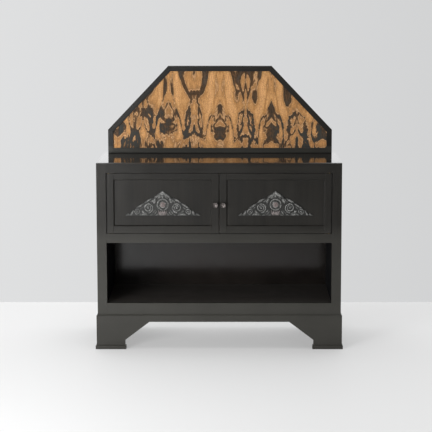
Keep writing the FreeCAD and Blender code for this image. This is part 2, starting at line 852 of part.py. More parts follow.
def carving(side):
    """A low triangular carving: ground, leaves, chevron and fan, two pairs of scrolls and a boss."""
    name = "door_%s_carving" % side
    width = (frame_inner_far - frame_inner_near) * CARVING_SIZE_SHARES[0]
    height = (frame_inner_high - frame_inner_low) * CARVING_SIZE_SHARES[1]
    half = width / 2
    middle = (door_near + door_far) / 2
    panel_middle = (frame_inner_low + frame_inner_high) / 2
    x = span(side, middle - half, middle + half)
    foot = panel_middle - d.carving_drop - height / 2
    body = new_body(name, x[0], panel_front - d.boss_relief, foot)

    def at(point):
        return (half + width * point[0], height * point[1])

    def layer(relief):
        return sketch_on(body, "XZ_Plane", relief - d.boss_relief)

    ground = layer(d.carving_ground)
    polygon(ground, [at(p) for p in LEFT_EDGE_SHARES + [APEX_SHARES] + mirrored(LEFT_EDGE_SHARES)])
    pad(body, ground, d.carving_ground, flip=True)
    leaves = layer(d.leaf_relief)
    outlines = [CHEVRON_SHARES, CREST_LEAF_SHARES, FAN_SHARES]
    for points in LEFT_LEAF_SHARES:
        outlines += [points, mirrored(points)]
    for points in outlines:
        polygon(leaves, [at(p) for p in points])
    circle(leaves, at(BOSS_SHARES), height * BOSS_RING_SHARE)
    pad(body, leaves, d.leaf_relief, flip=True)
    scrolls = layer(d.scroll_relief)
    for way in (-1, 1):
        large = at((LARGE_SCROLL_SHARES[0] * way, LARGE_SCROLL_SHARES[1]))
        small = at((SMALL_SCROLL_SHARES[0] * way, SMALL_SCROLL_SHARES[1]))
        circle(scrolls, large, height * LARGE_SCROLL_RADIUS_SHARE)
        circle(scrolls, large, height * LARGE_SCROLL_HOLLOW_SHARE)
        circle(scrolls, small, height * SMALL_SCROLL_RADIUS_SHARE)
    pad(body, scrolls, d.scroll_relief, flip=True)
    boss = layer(d.boss_relief)
    circle(boss, at(BOSS_SHARES), height * BOSS_RADIUS_SHARE)
    pad(body, boss, d.boss_relief, flip=True)
    return keep(body, name)


# Pivot hinges: leaves let into frame and door, with a collared pin between them
def leaf(name, side, level, bore):
    x = leaf_span(side)
    body = new_body(name, x[0], leaf_near, level)
    plan = sketch_on(body, "XY_Plane")
    rectangle(plan, (0, d.leaf_length), (0, d.leaf_width))
    near = pivot_out + d.leaf_nose - d.leaf_length
    far = pivot_out + d.leaf_nose
    circle(plan, (inward(side, near, far, pivot_out), d.leaf_width / 2), bore)
    pad(body, plan, d.leaf_thick)
    return body


def hinges(side):
    x = span(side, pivot_out, pivot_out)[0]
    name = "hinge_" + side
    fixed = [
        leaf(name + "_fixed_low", side, cupboard_bottom - d.leaf_thick, d.pin_radius),
        leaf(name + "_fixed_high", side, cupboard_top, d.pin_radius),
    ]
    group(name + "_frame_leaves", fixed)
    bore = d.pin_radius + d.pin_clearance
    moving = [
        leaf(name + "_moving_low", side, door_low, bore),
        leaf(name + "_moving_high", side, door_high - d.leaf_thick, bore),
    ]
    group(name + "_door_leaves", moving)
    length = d.leaf_thick * 2 + d.door_edge_gap - d.collar_clearance
    collar = d.door_edge_gap - d.collar_clearance
    low_start = cupboard_bottom - d.leaf_thick
    high_start = cupboard_top + d.leaf_thick - length
    low = fused(
        name + "_pin_low",
        [
            rod(name + "_pin_low_shank", x, pivot_y, low_start, d.pin_radius, length),
            rod(name + "_pin_low_collar", x, pivot_y, cupboard_bottom, d.collar_radius, collar),
        ],
    )
    high = fused(
        name + "_pin_high",
        [
            rod(name + "_pin_high_shank", x, pivot_y, high_start, d.pin_radius, length),
            rod(name + "_pin_high_collar", x, pivot_y, cupboard_top - collar, d.collar_radius, collar),
        ],
    )
    group(name + "_pins", [low, high])


for side in SIDES:
    for place_name in ("hinge", "meeting"):
        door_stile(side, place_name)
    for place_name in ("bottom", "top"):
        door_rail(side, place_name)
    door_panel(side)
    door_bead(side)
    carving(side)
    knob(side)
    knob_bolt(side)
    hinges(side)


# Splashback: a mitred frame of six lengths round a figured panel and a back board
slope_run = (hood_width - d.hood_top_width) / 2
slope_rise = d.hood_height - d.hood_side_height
slope_length = diagonal(slope_run, slope_rise)


def hood_ring(step):
    """The six corners of the splashback, moved inward by this distance."""
    side_drop = slope_run * step / (slope_length + slope_rise)
    top_shift = slope_rise * step / (slope_length + slope_run)
    return [
        (step, step),
        (hood_width - step, step),
        (hood_width - step, d.hood_side_height - side_drop),
        (hood_width - slope_run - top_shift, d.hood_height - step),
        (slope_run + top_shift, d.hood_height - step),
        (step, d.hood_side_height - side_drop),
    ]


HOOD_BOARDS = (
    "hood_bottom_rail",
    "hood_right_post",
    "hood_right_slope",
    "hood_top_rail",
    "hood_left_slope",
    "hood_left_post",
)


def hood_board(index, name):
    """One mitred length with a groove for the panel and a rebate for the back."""
    outer = hood_ring(0)
    inner = hood_ring(d.hood_board)
    lip = hood_ring(d.hood_board - d.hood_groove)
    after = (index + 1) % len(HOOD_BOARDS)
    body = new_body(name, -hood_half, hood_front, d.cab_height)
    face = sketch_on(body, "XZ_Plane")
    polygon(face, [outer[index], outer[after], inner[after], inner[index]])
    pad(body, face, d.hood_depth, flip=True)
    for start in (d.hood_panel_inset, d.hood_depth - d.hood_panel_thick):
        groove = sketch_on(body, "XZ_Plane", -start)
        polygon(groove, [lip[index], lip[after], inner[after], inner[index]])
        pocket(body, groove, d.hood_panel_thick)
    if index == 0:
        holes = sketch_on(body, "XY_Plane")
        for spot in dowel_spots():
            circle(holes, (spot + hood_half, d.hood_depth / 2), d.dowel_radius)
        pocket(body, holes, d.dowel_in_hood, flip=True)
    return keep(body, name)


def hood_sheet(name, y):
    """A six-sided sheet that fits the groove of the frame."""
    body = new_body(name, -hood_half, y, d.cab_height)
    face = sketch_on(body, "XZ_Plane")
    polygon(face, hood_ring(d.hood_board - d.hood_groove))
    pad(body, face, d.hood_panel_thick, flip=True)
    return keep(body, name)


def dowels():
    parts = []
    for number, spot in enumerate(dowel_spots(), 1):
        start = d.cab_height - d.dowel_in_top
        name = "dowel_%d" % number
        parts.append(rod(name, spot, dowel_y, start, d.dowel_radius, d.dowel_in_top + d.dowel_in_hood))
    return group("hood_dowels", parts)


for index, name in enumerate(HOOD_BOARDS):
    hood_board(index, name)
hood_sheet("figured_panel", hood_front + d.hood_panel_inset)
hood_sheet("hood_back_board", back - d.hood_panel_thick)
dowels()

doc.recompute()
for item in doc.Objects:
    if "Invalid" in item.State or "Error" in item.State:
        raise RuntimeError("not built: %s %s" % (item.Label, item.State))
for item in pieces:
    if item.Shape.isNull() or not item.Shape.isValid():
        raise RuntimeError("bad shape: " + item.Label)

os.makedirs("parts", exist_ok=True)
for item in pieces:
    item.Shape.exportStep("parts/%s.step" % item.Label)
print(len(pieces), "pieces written")
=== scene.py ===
import math

import bmesh
import bpy
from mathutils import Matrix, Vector


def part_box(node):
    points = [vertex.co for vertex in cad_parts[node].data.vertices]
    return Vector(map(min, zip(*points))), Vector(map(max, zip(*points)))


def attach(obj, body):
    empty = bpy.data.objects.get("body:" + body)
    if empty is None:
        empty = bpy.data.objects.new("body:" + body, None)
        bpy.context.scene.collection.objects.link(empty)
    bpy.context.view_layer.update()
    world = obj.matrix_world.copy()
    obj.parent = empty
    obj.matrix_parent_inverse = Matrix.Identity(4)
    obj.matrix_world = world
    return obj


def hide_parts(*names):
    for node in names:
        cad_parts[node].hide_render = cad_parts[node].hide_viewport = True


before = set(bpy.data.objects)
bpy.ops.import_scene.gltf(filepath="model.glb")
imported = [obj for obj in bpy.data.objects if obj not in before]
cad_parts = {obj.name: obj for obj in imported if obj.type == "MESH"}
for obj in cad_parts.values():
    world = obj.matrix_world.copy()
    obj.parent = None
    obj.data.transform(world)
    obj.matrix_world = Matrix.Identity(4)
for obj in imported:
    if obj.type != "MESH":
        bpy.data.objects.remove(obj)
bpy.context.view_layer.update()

# Plinth and foot pads
# Four boards of solid wood with a flattened arch between bracket feet, mitred at the front corners, and
# an L-shaped pad with a bevelled top edge glued under each foot. All are stained black and polished satin.

MERGE_DISTANCE = 0.00001
FLAT_ANGLE = math.radians(0.5)
SHARP_ANGLE = math.radians(30)
SHORTEST_EASED_EDGE = 0.006
ARRIS_ROUND = 0.0005
GRAIN_UPRIGHT = (0, 0, 0)
GRAIN_ACROSS = (0, math.radians(90), 0)
GRAIN_TO_BACK = (math.radians(90), 0, 0)

# Waves per metre across the board and along it
BROAD_FIGURE = (13, 13, 1.4)
NARROW_FIGURE = (75, 75, 1.8)
PORE_STREAKS = (330, 330, 9)
PORE_DARKNESS = 0.55
GRAIN_DEPTH = 0.0002
WORN_WIDTH = 0.0016

# Painted light: how much lighter grey is laid on at each height in metres, more lower down, where the light
# falls stronger, and on the splashback's bottom rail
PAINTED_LIGHT_LEVELS = [
    (0.0, 0.6),
    (0.2, 0.72),
    (0.54, 0.5),
    (0.62, 0.0),
    (0.922, 0.0),
    (0.925, 1.0),
    (0.956, 0.7),
    (0.958, 0.0),
]
# The grey of that painted light
PAINTED_LIGHT_GREY = (0.047, 0.046, 0.04)
# Painted shade: black and dull in corners and along the door gaps; the reach is how far ambient occlusion
# looks for corners
PAINTED_SHADE = (0.002, 0.002, 0.002)
SHADE_ROUGHNESS = (0.9, 0.9, 0.9)
SHADE_REACH = 0.007

# Painted shade along the door gaps: distance from the gap in metres, and how much shade lies there
GAP_SHADE_SPREAD = ((0.0015, 0.9), (0.0045, 0.0))
GAP_SHADE_OVERRUN = 0.002
SATIN_REFLECTION = 0.3


def new_object(name, data):
    """An object with this mesh, lamp or camera, put in the scene."""
    piece = bpy.data.objects.new(name, data)
    bpy.context.scene.collection.objects.link(piece)
    return piece


def take(piece):
    """Leaves only this piece selected and active."""
    bpy.ops.object.select_all(action="DESELECT")
    piece.select_set(True)
    bpy.context.view_layer.objects.active = piece


def edit_all():
    """Opens the active piece for editing with all of it selected."""
    bpy.ops.object.mode_set(mode="EDIT")
    bpy.ops.mesh.select_all(action="SELECT")


def opened_copy(node, name):
    """A copy of a solid, made one whole mesh and left open for editing."""
    piece = new_object(name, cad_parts[node].data.copy())
    take(piece)
    if piece.data.has_custom_normals:
        bpy.ops.mesh.customdata_custom_splitnormals_clear()
    edit_all()
    bpy.ops.mesh.select_mode(type="EDGE")
    bpy.ops.mesh.remove_doubles(threshold=MERGE_DISTANCE)
    return piece


def select_arrises():
    """Dissolves the lines inside flat faces and selects the sharp edges."""
    bpy.ops.mesh.dissolve_limited(angle_limit=FLAT_ANGLE)
    bpy.ops.mesh.select_all(action="DESELECT")
    bpy.ops.mesh.edges_select_sharp(sharpness=SHARP_ANGLE)


def true_flats(piece):
    """Shades rounded edges smooth and keeps the wide faces between them flat."""
    take(piece)
    bpy.ops.object.shade_smooth_by_angle(angle=SHARP_ANGLE)
    bpy.ops.object.modifier_add(type="WEIGHTED_NORMAL")
    weighted = piece.modifiers[-1]
    weighted.keep_sharp = True
    weighted.weight = 100
    bpy.ops.object.modifier_apply(modifier=weighted.name)


def eased(node, width):
    """A copy of a sawn piece whose sharp edges are rounded, as sanding leaves them."""
    piece = opened_copy(node, node + "_eased")
    select_arrises()
    shape = bmesh.from_edit_mesh(piece.data)
    for edge in shape.edges:
        if edge.select and edge.calc_length() < SHORTEST_EASED_EDGE:
            edge.select_set(False)
    bmesh.update_edit_mesh(piece.data)
    bpy.ops.mesh.bevel(offset=width, segments=2, affect="EDGES")
    bpy.ops.object.mode_set(mode="OBJECT")
    true_flats(piece)
    return piece


def fit(piece, body, slot, finish, *nodes):
    """Gives a piece its finish, its body and the solids that it stands for."""
    piece.data.materials.clear()
    piece.data.materials.append(finish)
    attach(piece, body)
    if nodes:
        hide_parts(*nodes)


def fit_sawn(node, body, slot, finish):
    """Fits the eased copy of a sawn piece over its solid."""
    fit(eased(node, ARRIS_ROUND), body, slot, finish, node)


def fit_ebonised(body, finish, *nodes):
    """Fits sawn pieces of ebonised wood."""
    for node in nodes:
        fit_sawn(node, body, "ebonised_wood", finish)


def add_node(tree, kind, inputs=None, **settings):
    """A shader node; each input is a plain value or another node's output."""
    node = tree.nodes.new(kind)
    for name, value in settings.items():
        setattr(node, name, value)
    for name, value in (inputs or {}).items():
        if isinstance(value, bpy.types.NodeSocket):
            tree.links.new(value, node.inputs[name])
        else:
            node.inputs[name].default_value = value
    return node


def object_place(tree):
    """Where on the object a point lies, in metres."""
    return add_node(tree, "ShaderNodeTexCoord").outputs["Object"]


def part_of(tree, place, axis):
    """A place's distance along X, Y or Z."""
    return add_node(tree, "ShaderNodeSeparateXYZ", {"Vector": place}).outputs[axis]


def stretched(tree, place, scale, shift=(0, 0, 0)):
    """A place scaled differently along each axis, and moved."""
    inputs = {"Vector": place, "Scale": scale, "Location": shift}
    return add_node(tree, "ShaderNodeMapping", inputs).outputs["Vector"]


def noise(tree, place, scale=1.0, detail=2.0, roughness=0.5, distortion=0.0):
    """Cloudy values round one half."""
    inputs = {"Vector": place, "Scale": scale, "Detail": detail}
    inputs.update({"Roughness": roughness, "Distortion": distortion})
    return add_node(tree, "ShaderNodeTexNoise", inputs).outputs["Fac"]


def ramp(tree, factor, *stops):
    """A colour or grey value that runs through stops of place and shade."""
    node = add_node(tree, "ShaderNodeValToRGB", {"Fac": factor})
    elements = node.color_ramp.elements
    for place, shade in stops[1:-1]:
        elements.new(place)
    for element, (place, shade) in zip(elements, stops):
        element.position = place
        element.color = (*shade, 1) if isinstance(shade, tuple) else (shade, shade, shade, 1)
    return node.outputs["Color"]


def maths(tree, operation, first, second=0.0):
    """One step of arithmetic between two values."""
    node = add_node(tree, "ShaderNodeMath", {0: first, 1: second}, operation=operation)
    return node.outputs["Value"]


def apart(tree, value, level):
    """How far a value lies from a level, on either side."""
    return maths(tree, "ABSOLUTE", maths(tree, "SUBTRACT", value, level))


def mixed(tree, factor, first, second, blend_type="MIX"):
    """A colour between two others."""
    node = add_node(tree, "ShaderNodeMix", {"Factor": factor}, data_type="RGBA", blend_type=blend_type)
    for name, value in (("A", first), ("B", second)):
        socket = [s for s in node.inputs if s.name == name and s.type == "RGBA"][0]
        if isinstance(value, bpy.types.NodeSocket):
            tree.links.new(value, socket)
        else:
            socket.default_value = (*value, 1)
    return [s for s in node.outputs if s.type == "RGBA"][0]


def lay_over(tree, shader, label, mask, cover):
    """Covers what a socket of the shader shows, as far as the mask says."""
    below = shader.inputs[label].links[0].from_socket
    tree.links.new(mixed(tree, mask, below, cover), shader.inputs[label])


def set_relief(tree, shader, height, strength, distance):
    """Gives the surface a relief that light catches."""
    inputs = {"Strength": strength, "Distance": distance, "Height": height}
    bump = add_node(tree, "ShaderNodeBump", inputs)
    tree.links.new(bump.outputs["Normal"], shader.inputs["Normal"])


def new_finish(name):
    """A new material, its nodes and its shader."""
    finish = bpy.data.materials.new(name)
    finish.use_nodes = True
    return finish, finish.node_tree, finish.node_tree.nodes["Principled BSDF"]


def new_group(name, inputs, outputs):
    """An empty shader group and its two ends."""
    tree = bpy.data.node_groups.new(name, "ShaderNodeTree")
    for label, kind in inputs.items():
        tree.interface.new_socket(label, in_out="INPUT", socket_type=kind)
    for label, kind in outputs.items():
        tree.interface.new_socket(label, in_out="OUTPUT", socket_type=kind)
    return tree, tree.nodes.new("NodeGroupInput"), tree.nodes.new("NodeGroupOutput")


def wood_grain_group():
    """Figure, pores and their height; the grain runs along Z of the vector."""
    kinds = {"Figure": "NodeSocketFloat", "Pores": "NodeSocketFloat", "Height": "NodeSocketFloat"}
    tree, inlet, outlet = new_group("wood grain", {"Vector": "NodeSocketVector"}, kinds)
    place = inlet.outputs["Vector"]
    clouds = noise(tree, stretched(tree, place, BROAD_FIGURE), detail=5.0, distortion=0.8)
    lines = noise(tree, stretched(tree, place, NARROW_FIGURE), detail=4.0, roughness=0.6)
    figure = maths(tree, "MULTIPLY", maths(tree, "ADD", clouds, lines), 0.5)
    streaks = noise(tree, stretched(tree, place, PORE_STREAKS), detail=3.0)
    pores = ramp(tree, streaks, (0.5, 0.0), (0.72, 1.0))
    height = maths(tree, "SUBTRACT", figure, pores)
    for label, value in (("Figure", figure), ("Pores", pores), ("Height", height)):
        tree.links.new(value, outlet.inputs[label])
    return tree


def worn_edge_group():
    """A broken mask along arrises, where hands and cloths have rubbed the polish."""
    inputs = {"Vector": "NodeSocketVector", "Width": "NodeSocketFloat"}
    tree, inlet, outlet = new_group("worn edge", inputs, {"Mask": "NodeSocketFloat"})
    rounded = add_node(tree, "ShaderNodeBevel", {"Radius": inlet.outputs["Width"]}, samples=4)
    sharp = add_node(tree, "ShaderNodeNewGeometry")
    normals = {0: rounded.outputs["Normal"], 1: sharp.outputs["Normal"]}
    turn = add_node(tree, "ShaderNodeVectorMath", normals, operation="DOT_PRODUCT").outputs["Value"]
    edge = ramp(tree, turn, (0.72, 1.0), (0.97, 0.0))
    patches = noise(tree, inlet.outputs["Vector"], scale=26.0, detail=6.0)
    broken = ramp(tree, patches, (0.46, 0.0), (0.66, 1.0))
    tree.links.new(maths(tree, "MULTIPLY", edge, broken), outlet.inputs["Mask"])
    return tree


wood_grain = wood_grain_group()
worn_edge = worn_edge_group()


def along_board(tree, turn, shift=(0, 0, 0)):
    """The place on the object, turned so that the board's length runs along Z."""
    inputs = {"Vector": object_place(tree), "Rotation": turn, "Location": shift}
    return add_node(tree, "ShaderNodeMapping", inputs).outputs["Vector"]


def grain_at(tree, along):
    """The grain's figure, pores and height at a place along the board."""
    return add_node(tree, "ShaderNodeGroup", {"Vector": along}, node_tree=wood_grain).outputs


def worn_arrises(tree):
    """A mask of the piece's worn arrises."""
    inputs = {"Vector": object_place(tree), "Width": WORN_WIDTH}
    return add_node(tree, "ShaderNodeGroup", inputs, node_tree=worn_edge).outputs["Mask"]


def wood(name, turn, dark, light, rubbed, rub_share, gloss, relief, shift=(0, 0, 0)):
    """Wood whose grain is turned along the board; gloss is its lowest and highest roughness."""
    finish, tree, shader = new_finish(name)
    along = along_board(tree, turn, shift)
    grain = grain_at(tree, along)
    figured = ramp(tree, grain["Figure"], (0.3, dark), (0.7, light))
    pored = mixed(tree, maths(tree, "MULTIPLY", grain["Pores"], PORE_DARKNESS), figured, dark)
    worn = mixed(tree, maths(tree, "MULTIPLY", worn_arrises(tree), rub_share), pored, rubbed)
    tree.links.new(worn, shader.inputs["Base Color"])
    smears = noise(tree, along, scale=6.0, detail=5.0, distortion=0.5)
    low, high = gloss
    tree.links.new(ramp(tree, smears, (0.3, low), (0.7, high)), shader.inputs["Roughness"])
    set_relief(tree, shader, grain["Height"], relief, GRAIN_DEPTH)
    return finish


def gap_shade(tree, place, height):
    """A mask of painted shade along the upright gaps at the doors' hinge sides."""
    low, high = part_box("door_right_hinge_stile")
    from_middle = maths(tree, "ABSOLUTE", part_of(tree, place, "X"))
    beside_gap = ramp(tree, apart(tree, from_middle, high.x), *GAP_SHADE_SPREAD)
    from_door_middle = apart(tree, height, (low.z + high.z) / 2)
    reach = (high.z - low.z) / 2 + GAP_SHADE_OVERRUN
    return maths(tree, "MULTIPLY", beside_gap, maths(tree, "LESS_THAN", from_door_middle, reach))


def ebonised(name, turn):
    """Satin black-brown polish, with painted light as grey lower down and on the splashback's bottom rail,
    and painted shade as dull black in corners and along the door gaps.
    """
    finish = wood(
        name,
        turn,
        dark=(0.0062, 0.0057, 0.0048),
        light=(0.0155, 0.014, 0.0115),
        rubbed=(0.075, 0.055, 0.038),
        rub_share=0.5,
        gloss=(0.32, 0.48),
        relief=0.5,
    )
    tree = finish.node_tree
    shader = tree.nodes["Principled BSDF"]
    shader.inputs["Specular IOR Level"].default_value = SATIN_REFLECTION
    place = object_place(tree)
    height = part_of(tree, place, "Z")
    # Painted light: lighter grey at the listed heights, broken into clouds
    clouds = ramp(tree, noise(tree, place, scale=5.0, detail=6.0), (0.3, 0.7), (0.7, 1.0))
    painted_light = maths(tree, "MULTIPLY", ramp(tree, height, *PAINTED_LIGHT_LEVELS), clouds)
    lay_over(tree, shader, "Base Color", painted_light, PAINTED_LIGHT_GREY)
    # Painted shade: black and dull in corners, found by ambient occlusion, and along the door gaps
    openness = add_node(tree, "ShaderNodeAmbientOcclusion", {"Distance": SHADE_REACH}, samples=4).outputs["AO"]
    in_corners = ramp(tree, openness, (0.45, 1.0), (0.8, 0.0))
    painted_shade = maths(tree, "MAXIMUM", in_corners, gap_shade(tree, place, height))
    lay_over(tree, shader, "Base Color", painted_shade, PAINTED_SHADE)
    lay_over(tree, shader, "Roughness", painted_shade, SHADE_ROUGHNESS)
    return finish


ebonised_upright = ebonised("ebonised wood, grain upright", GRAIN_UPRIGHT)
ebonised_across = ebonised("ebonised wood, grain across", GRAIN_ACROSS)
ebonised_to_back = ebonised("ebonised wood, grain to the back", GRAIN_TO_BACK)

for end in ("front", "back"):
    fit_ebonised("cabinet", ebonised_across, f"foot_pad_{end}_left", f"foot_pad_{end}_right")
fit_ebonised("cabinet", ebonised_across, "plinth_front", "plinth_back")
fit_ebonised("cabinet", ebonised_to_back, "plinth_left", "plinth_right")

# Plain inner wood
# The blocks glued in the plinth's corners, the door stop and the dowels are bare softwood
# that age has darkened, since nobody sees them.


def softwood(name, turn):
    """Bare softwood, never stained."""
    return wood(
        name,
        turn,
        dark=(0.15, 0.09, 0.048),
        light=(0.33, 0.225, 0.125),
        rubbed=(0.42, 0.31, 0.19),
        rub_share=0.3,
        gloss=(0.6, 0.8),
        relief=0.5,
    )


def finish_solid(node, finish):
    """Gives its finish to a solid that shows as it is."""
    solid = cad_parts[node]
    solid.data.materials.clear()
    solid.data.materials.append(finish)


plain_across = softwood("bare softwood, grain across", GRAIN_ACROSS)
plain_upright = softwood("bare softwood, grain upright", GRAIN_UPRIGHT)
fit_sawn("door_stop", "cabinet", "plain_wood", plain_across)
fit_sawn("plinth_corner_blocks", "cabinet", "plain_wood", plain_upright)
finish_solid("hood_dowels", plain_upright)

# Carcass
# Side panels, tenoned front frame, the lining boards and the two floors, all ebonised.
# The frame stands flush round the open niche below and the cupboard above.

LINING_REFLECTION = 0.12

fit_ebonised("cabinet", ebonised_upright, "side_panel_left", "side_panel_right")
fit_ebonised("cabinet", ebonised_upright, "frame_stile_left", "frame_stile_right")
fit_ebonised("cabinet", ebonised_across, "frame_rail_top", "frame_rail_middle", "frame_rail_bottom")
fit_ebonised("cabinet", ebonised_across, "cupboard_floor")
# Painted light: the niche floor gets a lighter black than the other ebonised wood, standing in for the light
# that falls on it
niche_light_finish = wood(
    "painted light on the niche shelf",
    GRAIN_ACROSS,
    dark=(0.036, 0.032, 0.029),
    light=(0.064, 0.057, 0.052),
    rubbed=(0.08, 0.06, 0.045),
    rub_share=0.5,
    gloss=(0.4, 0.55),
    relief=0.25,
)
fit_ebonised("cabinet", niche_light_finish, "niche_floor")
# Painted shade: the niche linings get a darker black than the other ebonised wood, with less reflection,
# standing in for the shade inside the niche
niche_shade_finish = wood(
    "painted shade on the niche linings",
    GRAIN_UPRIGHT,
    dark=(0.002, 0.002, 0.0024),
    light=(0.005, 0.005, 0.006),
    rubbed=(0.03, 0.027, 0.024),
    rub_share=0.2,
    gloss=(0.6, 0.75),
    relief=0.2,
)
niche_shade_shader = niche_shade_finish.node_tree.nodes["Principled BSDF"]
niche_shade_shader.inputs["Specular IOR Level"].default_value = LINING_REFLECTION
fit_ebonised("cabinet", niche_shade_finish, "niche_lining_left", "niche_lining_right")

# Back panels
# Two thin boards in a rebate of the sides, held by small nails. The lower one closes the niche,
# so its face is French polished to a mirror; behind, both are only stained brown.

NAIL_SPACING = 0.14
NAIL_RADIUS = 0.0022
NAIL_PROUD = 0.0004
NAIL_INSET = 0.006
BOARD_ROUND = 0.0012
BEHIND_ROUNDING = BOARD_ROUND * 1.2

# How far each board's grain is shifted, so that the lower and the upper one differ
LOWER_BOARD_SHIFT = (0, 0, 0)
UPPER_BOARD_SHIFT = (0.43, 0.21, 0.67)
SEAM_DIRT = (0.012, 0.009, 0.006)
SEAM_DIRT_SPREAD = ((0.001, 0.85), (0.0035, 0.0))
POLISHED_SKIN = 0.002
POLISH_DARK = (0.0055, 0.0044, 0.0038)
POLISH_LIGHT = (0.0125, 0.0098, 0.0082)


def stained_board(name, shift):
    """Brown stained thin board, with dirt along the seam between the two back panels."""
    finish = wood(
        name,
        GRAIN_ACROSS,
        dark=(0.06, 0.036, 0.02),
        light=(0.15, 0.095, 0.055),
        rubbed=(0.2, 0.14, 0.09),
        rub_share=0.3,
        gloss=(0.55, 0.75),
        relief=0.4,
        shift=shift,
    )
    tree = finish.node_tree
    height = part_of(tree, object_place(tree), "Z")
    from_seam = apart(tree, height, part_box("back_panel_upper")[0].z)
    dirt = ramp(tree, from_seam, *SEAM_DIRT_SPREAD)
    lay_over(tree, tree.nodes["Principled BSDF"], "Base Color", dirt, SEAM_DIRT)
    return finish


def polished_niche_back():
    """Mirror-like dark polish on the face towards the niche, plain stain behind."""
    finish = stained_board("polished niche back", LOWER_BOARD_SHIFT)
    tree = finish.node_tree
    shader = tree.nodes["Principled BSDF"]
    place = object_place(tree)
    depth = part_of(tree, place, "Y")
    face = maths(tree, "LESS_THAN", depth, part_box("back_panel_lower")[0].y + POLISHED_SKIN)
    clouds = noise(tree, place, scale=5.0, detail=5.0, distortion=0.6)
    lay_over(tree, shader, "Base Color", face, ramp(tree, clouds, (0.3, POLISH_DARK), (0.7, POLISH_LIGHT)))
    lay_over(tree, shader, "Roughness", face, ramp(tree, clouds, (0.3, 0.11), (0.7, 0.19)))
    waves = noise(tree, place, scale=9.0, detail=1.0)
    set_relief(tree, shader, waves, strength=0.3, distance=0.0006)
    return finish


def nailed_board(node):
    """The eased board, its back sunk by a nail head's height so that the heads end flush."""
    board = eased(node, BOARD_ROUND)
    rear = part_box(node)[1].y
    bpy.ops.object.mode_set(mode="EDIT")
    bpy.ops.mesh.select_all(action="DESELECT")
    shape = bmesh.from_edit_mesh(board.data)
    for corner in shape.verts:
        corner.select_set(corner.co.y > rear - BEHIND_ROUNDING)
    bmesh.update_edit_mesh(board.data)
    bpy.ops.transform.translate(value=(0, -NAIL_PROUD, 0))
    bpy.ops.object.mode_set(mode="OBJECT")
    return board


upper_board = stained_board("brown stained upper board", UPPER_BOARD_SHIFT)
fit(nailed_board("back_panel_lower"), "cabinet", "back_board", polished_niche_back(), "back_panel_lower")
fit(nailed_board("back_panel_upper"), "cabinet", "back_board", upper_board, "back_panel_upper")


def joined(parts, name):
    """Several meshes made one piece."""
    bpy.ops.object.select_all(action="DESELECT")
    for part in parts:
        part.select_set(True)
    bpy.context.view_layer.objects.active = parts[0]
    bpy.ops.object.join()
    parts[0].name = name
    parts[0].data.name = name
    return parts[0]


def settled(piece):
    """Puts a new piece's place and size into its mesh, with its faces outwards."""
    take(piece)
    bpy.ops.object.transform_apply(location=True, rotation=True, scale=True)
    edit_all()
    bpy.ops.mesh.remove_doubles(threshold=MERGE_DISTANCE)
    bpy.ops.mesh.normals_make_consistent(inside=False)
    bpy.ops.object.mode_set(mode="OBJECT")
    return piece


def copied(piece, shift):
    """Another of the same piece, with its own mesh, moved to its place."""
    twin = new_object(piece.name + "_copy", piece.data.copy())
    twin.location = shift
    return settled(twin)


def nail_head():
    """A flat drawn nail head with a round edge, facing back, at the origin."""
    bpy.ops.mesh.primitive_cylinder_add(
        vertices=12, radius=NAIL_RADIUS, depth=NAIL_PROUD * 2, rotation=(math.radians(90), 0, 0)
    )
    nail = bpy.context.object
    edit_all()
    bpy.ops.mesh.bevel(offset=NAIL_PROUD / 2, segments=1, affect="EDGES")
    bpy.ops.object.mode_set(mode="OBJECT")
    return settled(nail)


def metal(name, dark, light, roughness, scale):
    """Plain metal with uneven tarnish; scale is how many patches lie in a metre."""
    finish, tree, shader = new_finish(name)
    shader.inputs["Metallic"].default_value = 1.0
    clouds = noise(tree, object_place(tree), scale=scale, detail=6.0, distortion=0.4)
    tree.links.new(ramp(tree, clouds, (0.35, dark), (0.65, light)), shader.inputs["Base Color"])
    low, high = roughness
    tree.links.new(ramp(tree, clouds, (0.3, high), (0.7, low)), shader.inputs["Roughness"])
    set_relief(tree, shader, clouds, strength=0.2, distance=0.0001)
    return finish


def places_between(low, high, spacing):
    """Even places from one end to the other, no further apart than the spacing."""
    steps = math.ceil((high - low) / spacing)
    return [low + (high - low) * step / steps for step in range(steps + 1)]


steel = metal(
    "plain steel",
    dark=(0.2, 0.19, 0.18),
    light=(0.42, 0.41, 0.4),
    roughness=(0.3, 0.5),
    scale=220.0,
)
pattern_nail = nail_head()
for node in ("back_panel_lower", "back_panel_upper"):
    low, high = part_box(node)
    spots = []
    for x in places_between(low.x + NAIL_INSET, high.x - NAIL_INSET, NAIL_SPACING):
        spots += [(x, low.z + NAIL_INSET), (x, high.z - NAIL_INSET)]
    for z in places_between(low.z + NAIL_INSET, high.z - NAIL_INSET, NAIL_SPACING)[1:-1]:
        spots += [(low.x + NAIL_INSET, z), (high.x - NAIL_INSET, z)]
    nails = joined([copied(pattern_nail, (x, high.y - NAIL_PROUD, z)) for x, z in spots], node + "_nails")
    fit(nails, "cabinet", "bolt_steel", steel)
bpy.data.objects.remove(pattern_nail)

# Top board
# One wide board, French polished until it mirrors the splashback. Its pores are filled,
# so only the faint figure shows under the gloss, with a few wiping marks.

TOP_DARK = (0.008, 0.007, 0.006)
TOP_LIGHT = (0.02, 0.0165, 0.014)
TOP_RUBBED = (0.08, 0.055, 0.035)
TOP_RUB_SHARE = 0.4
TOP_REFLECTION = 0.4
WIPING_STROKES = (3.0, 16.0, 3.0)


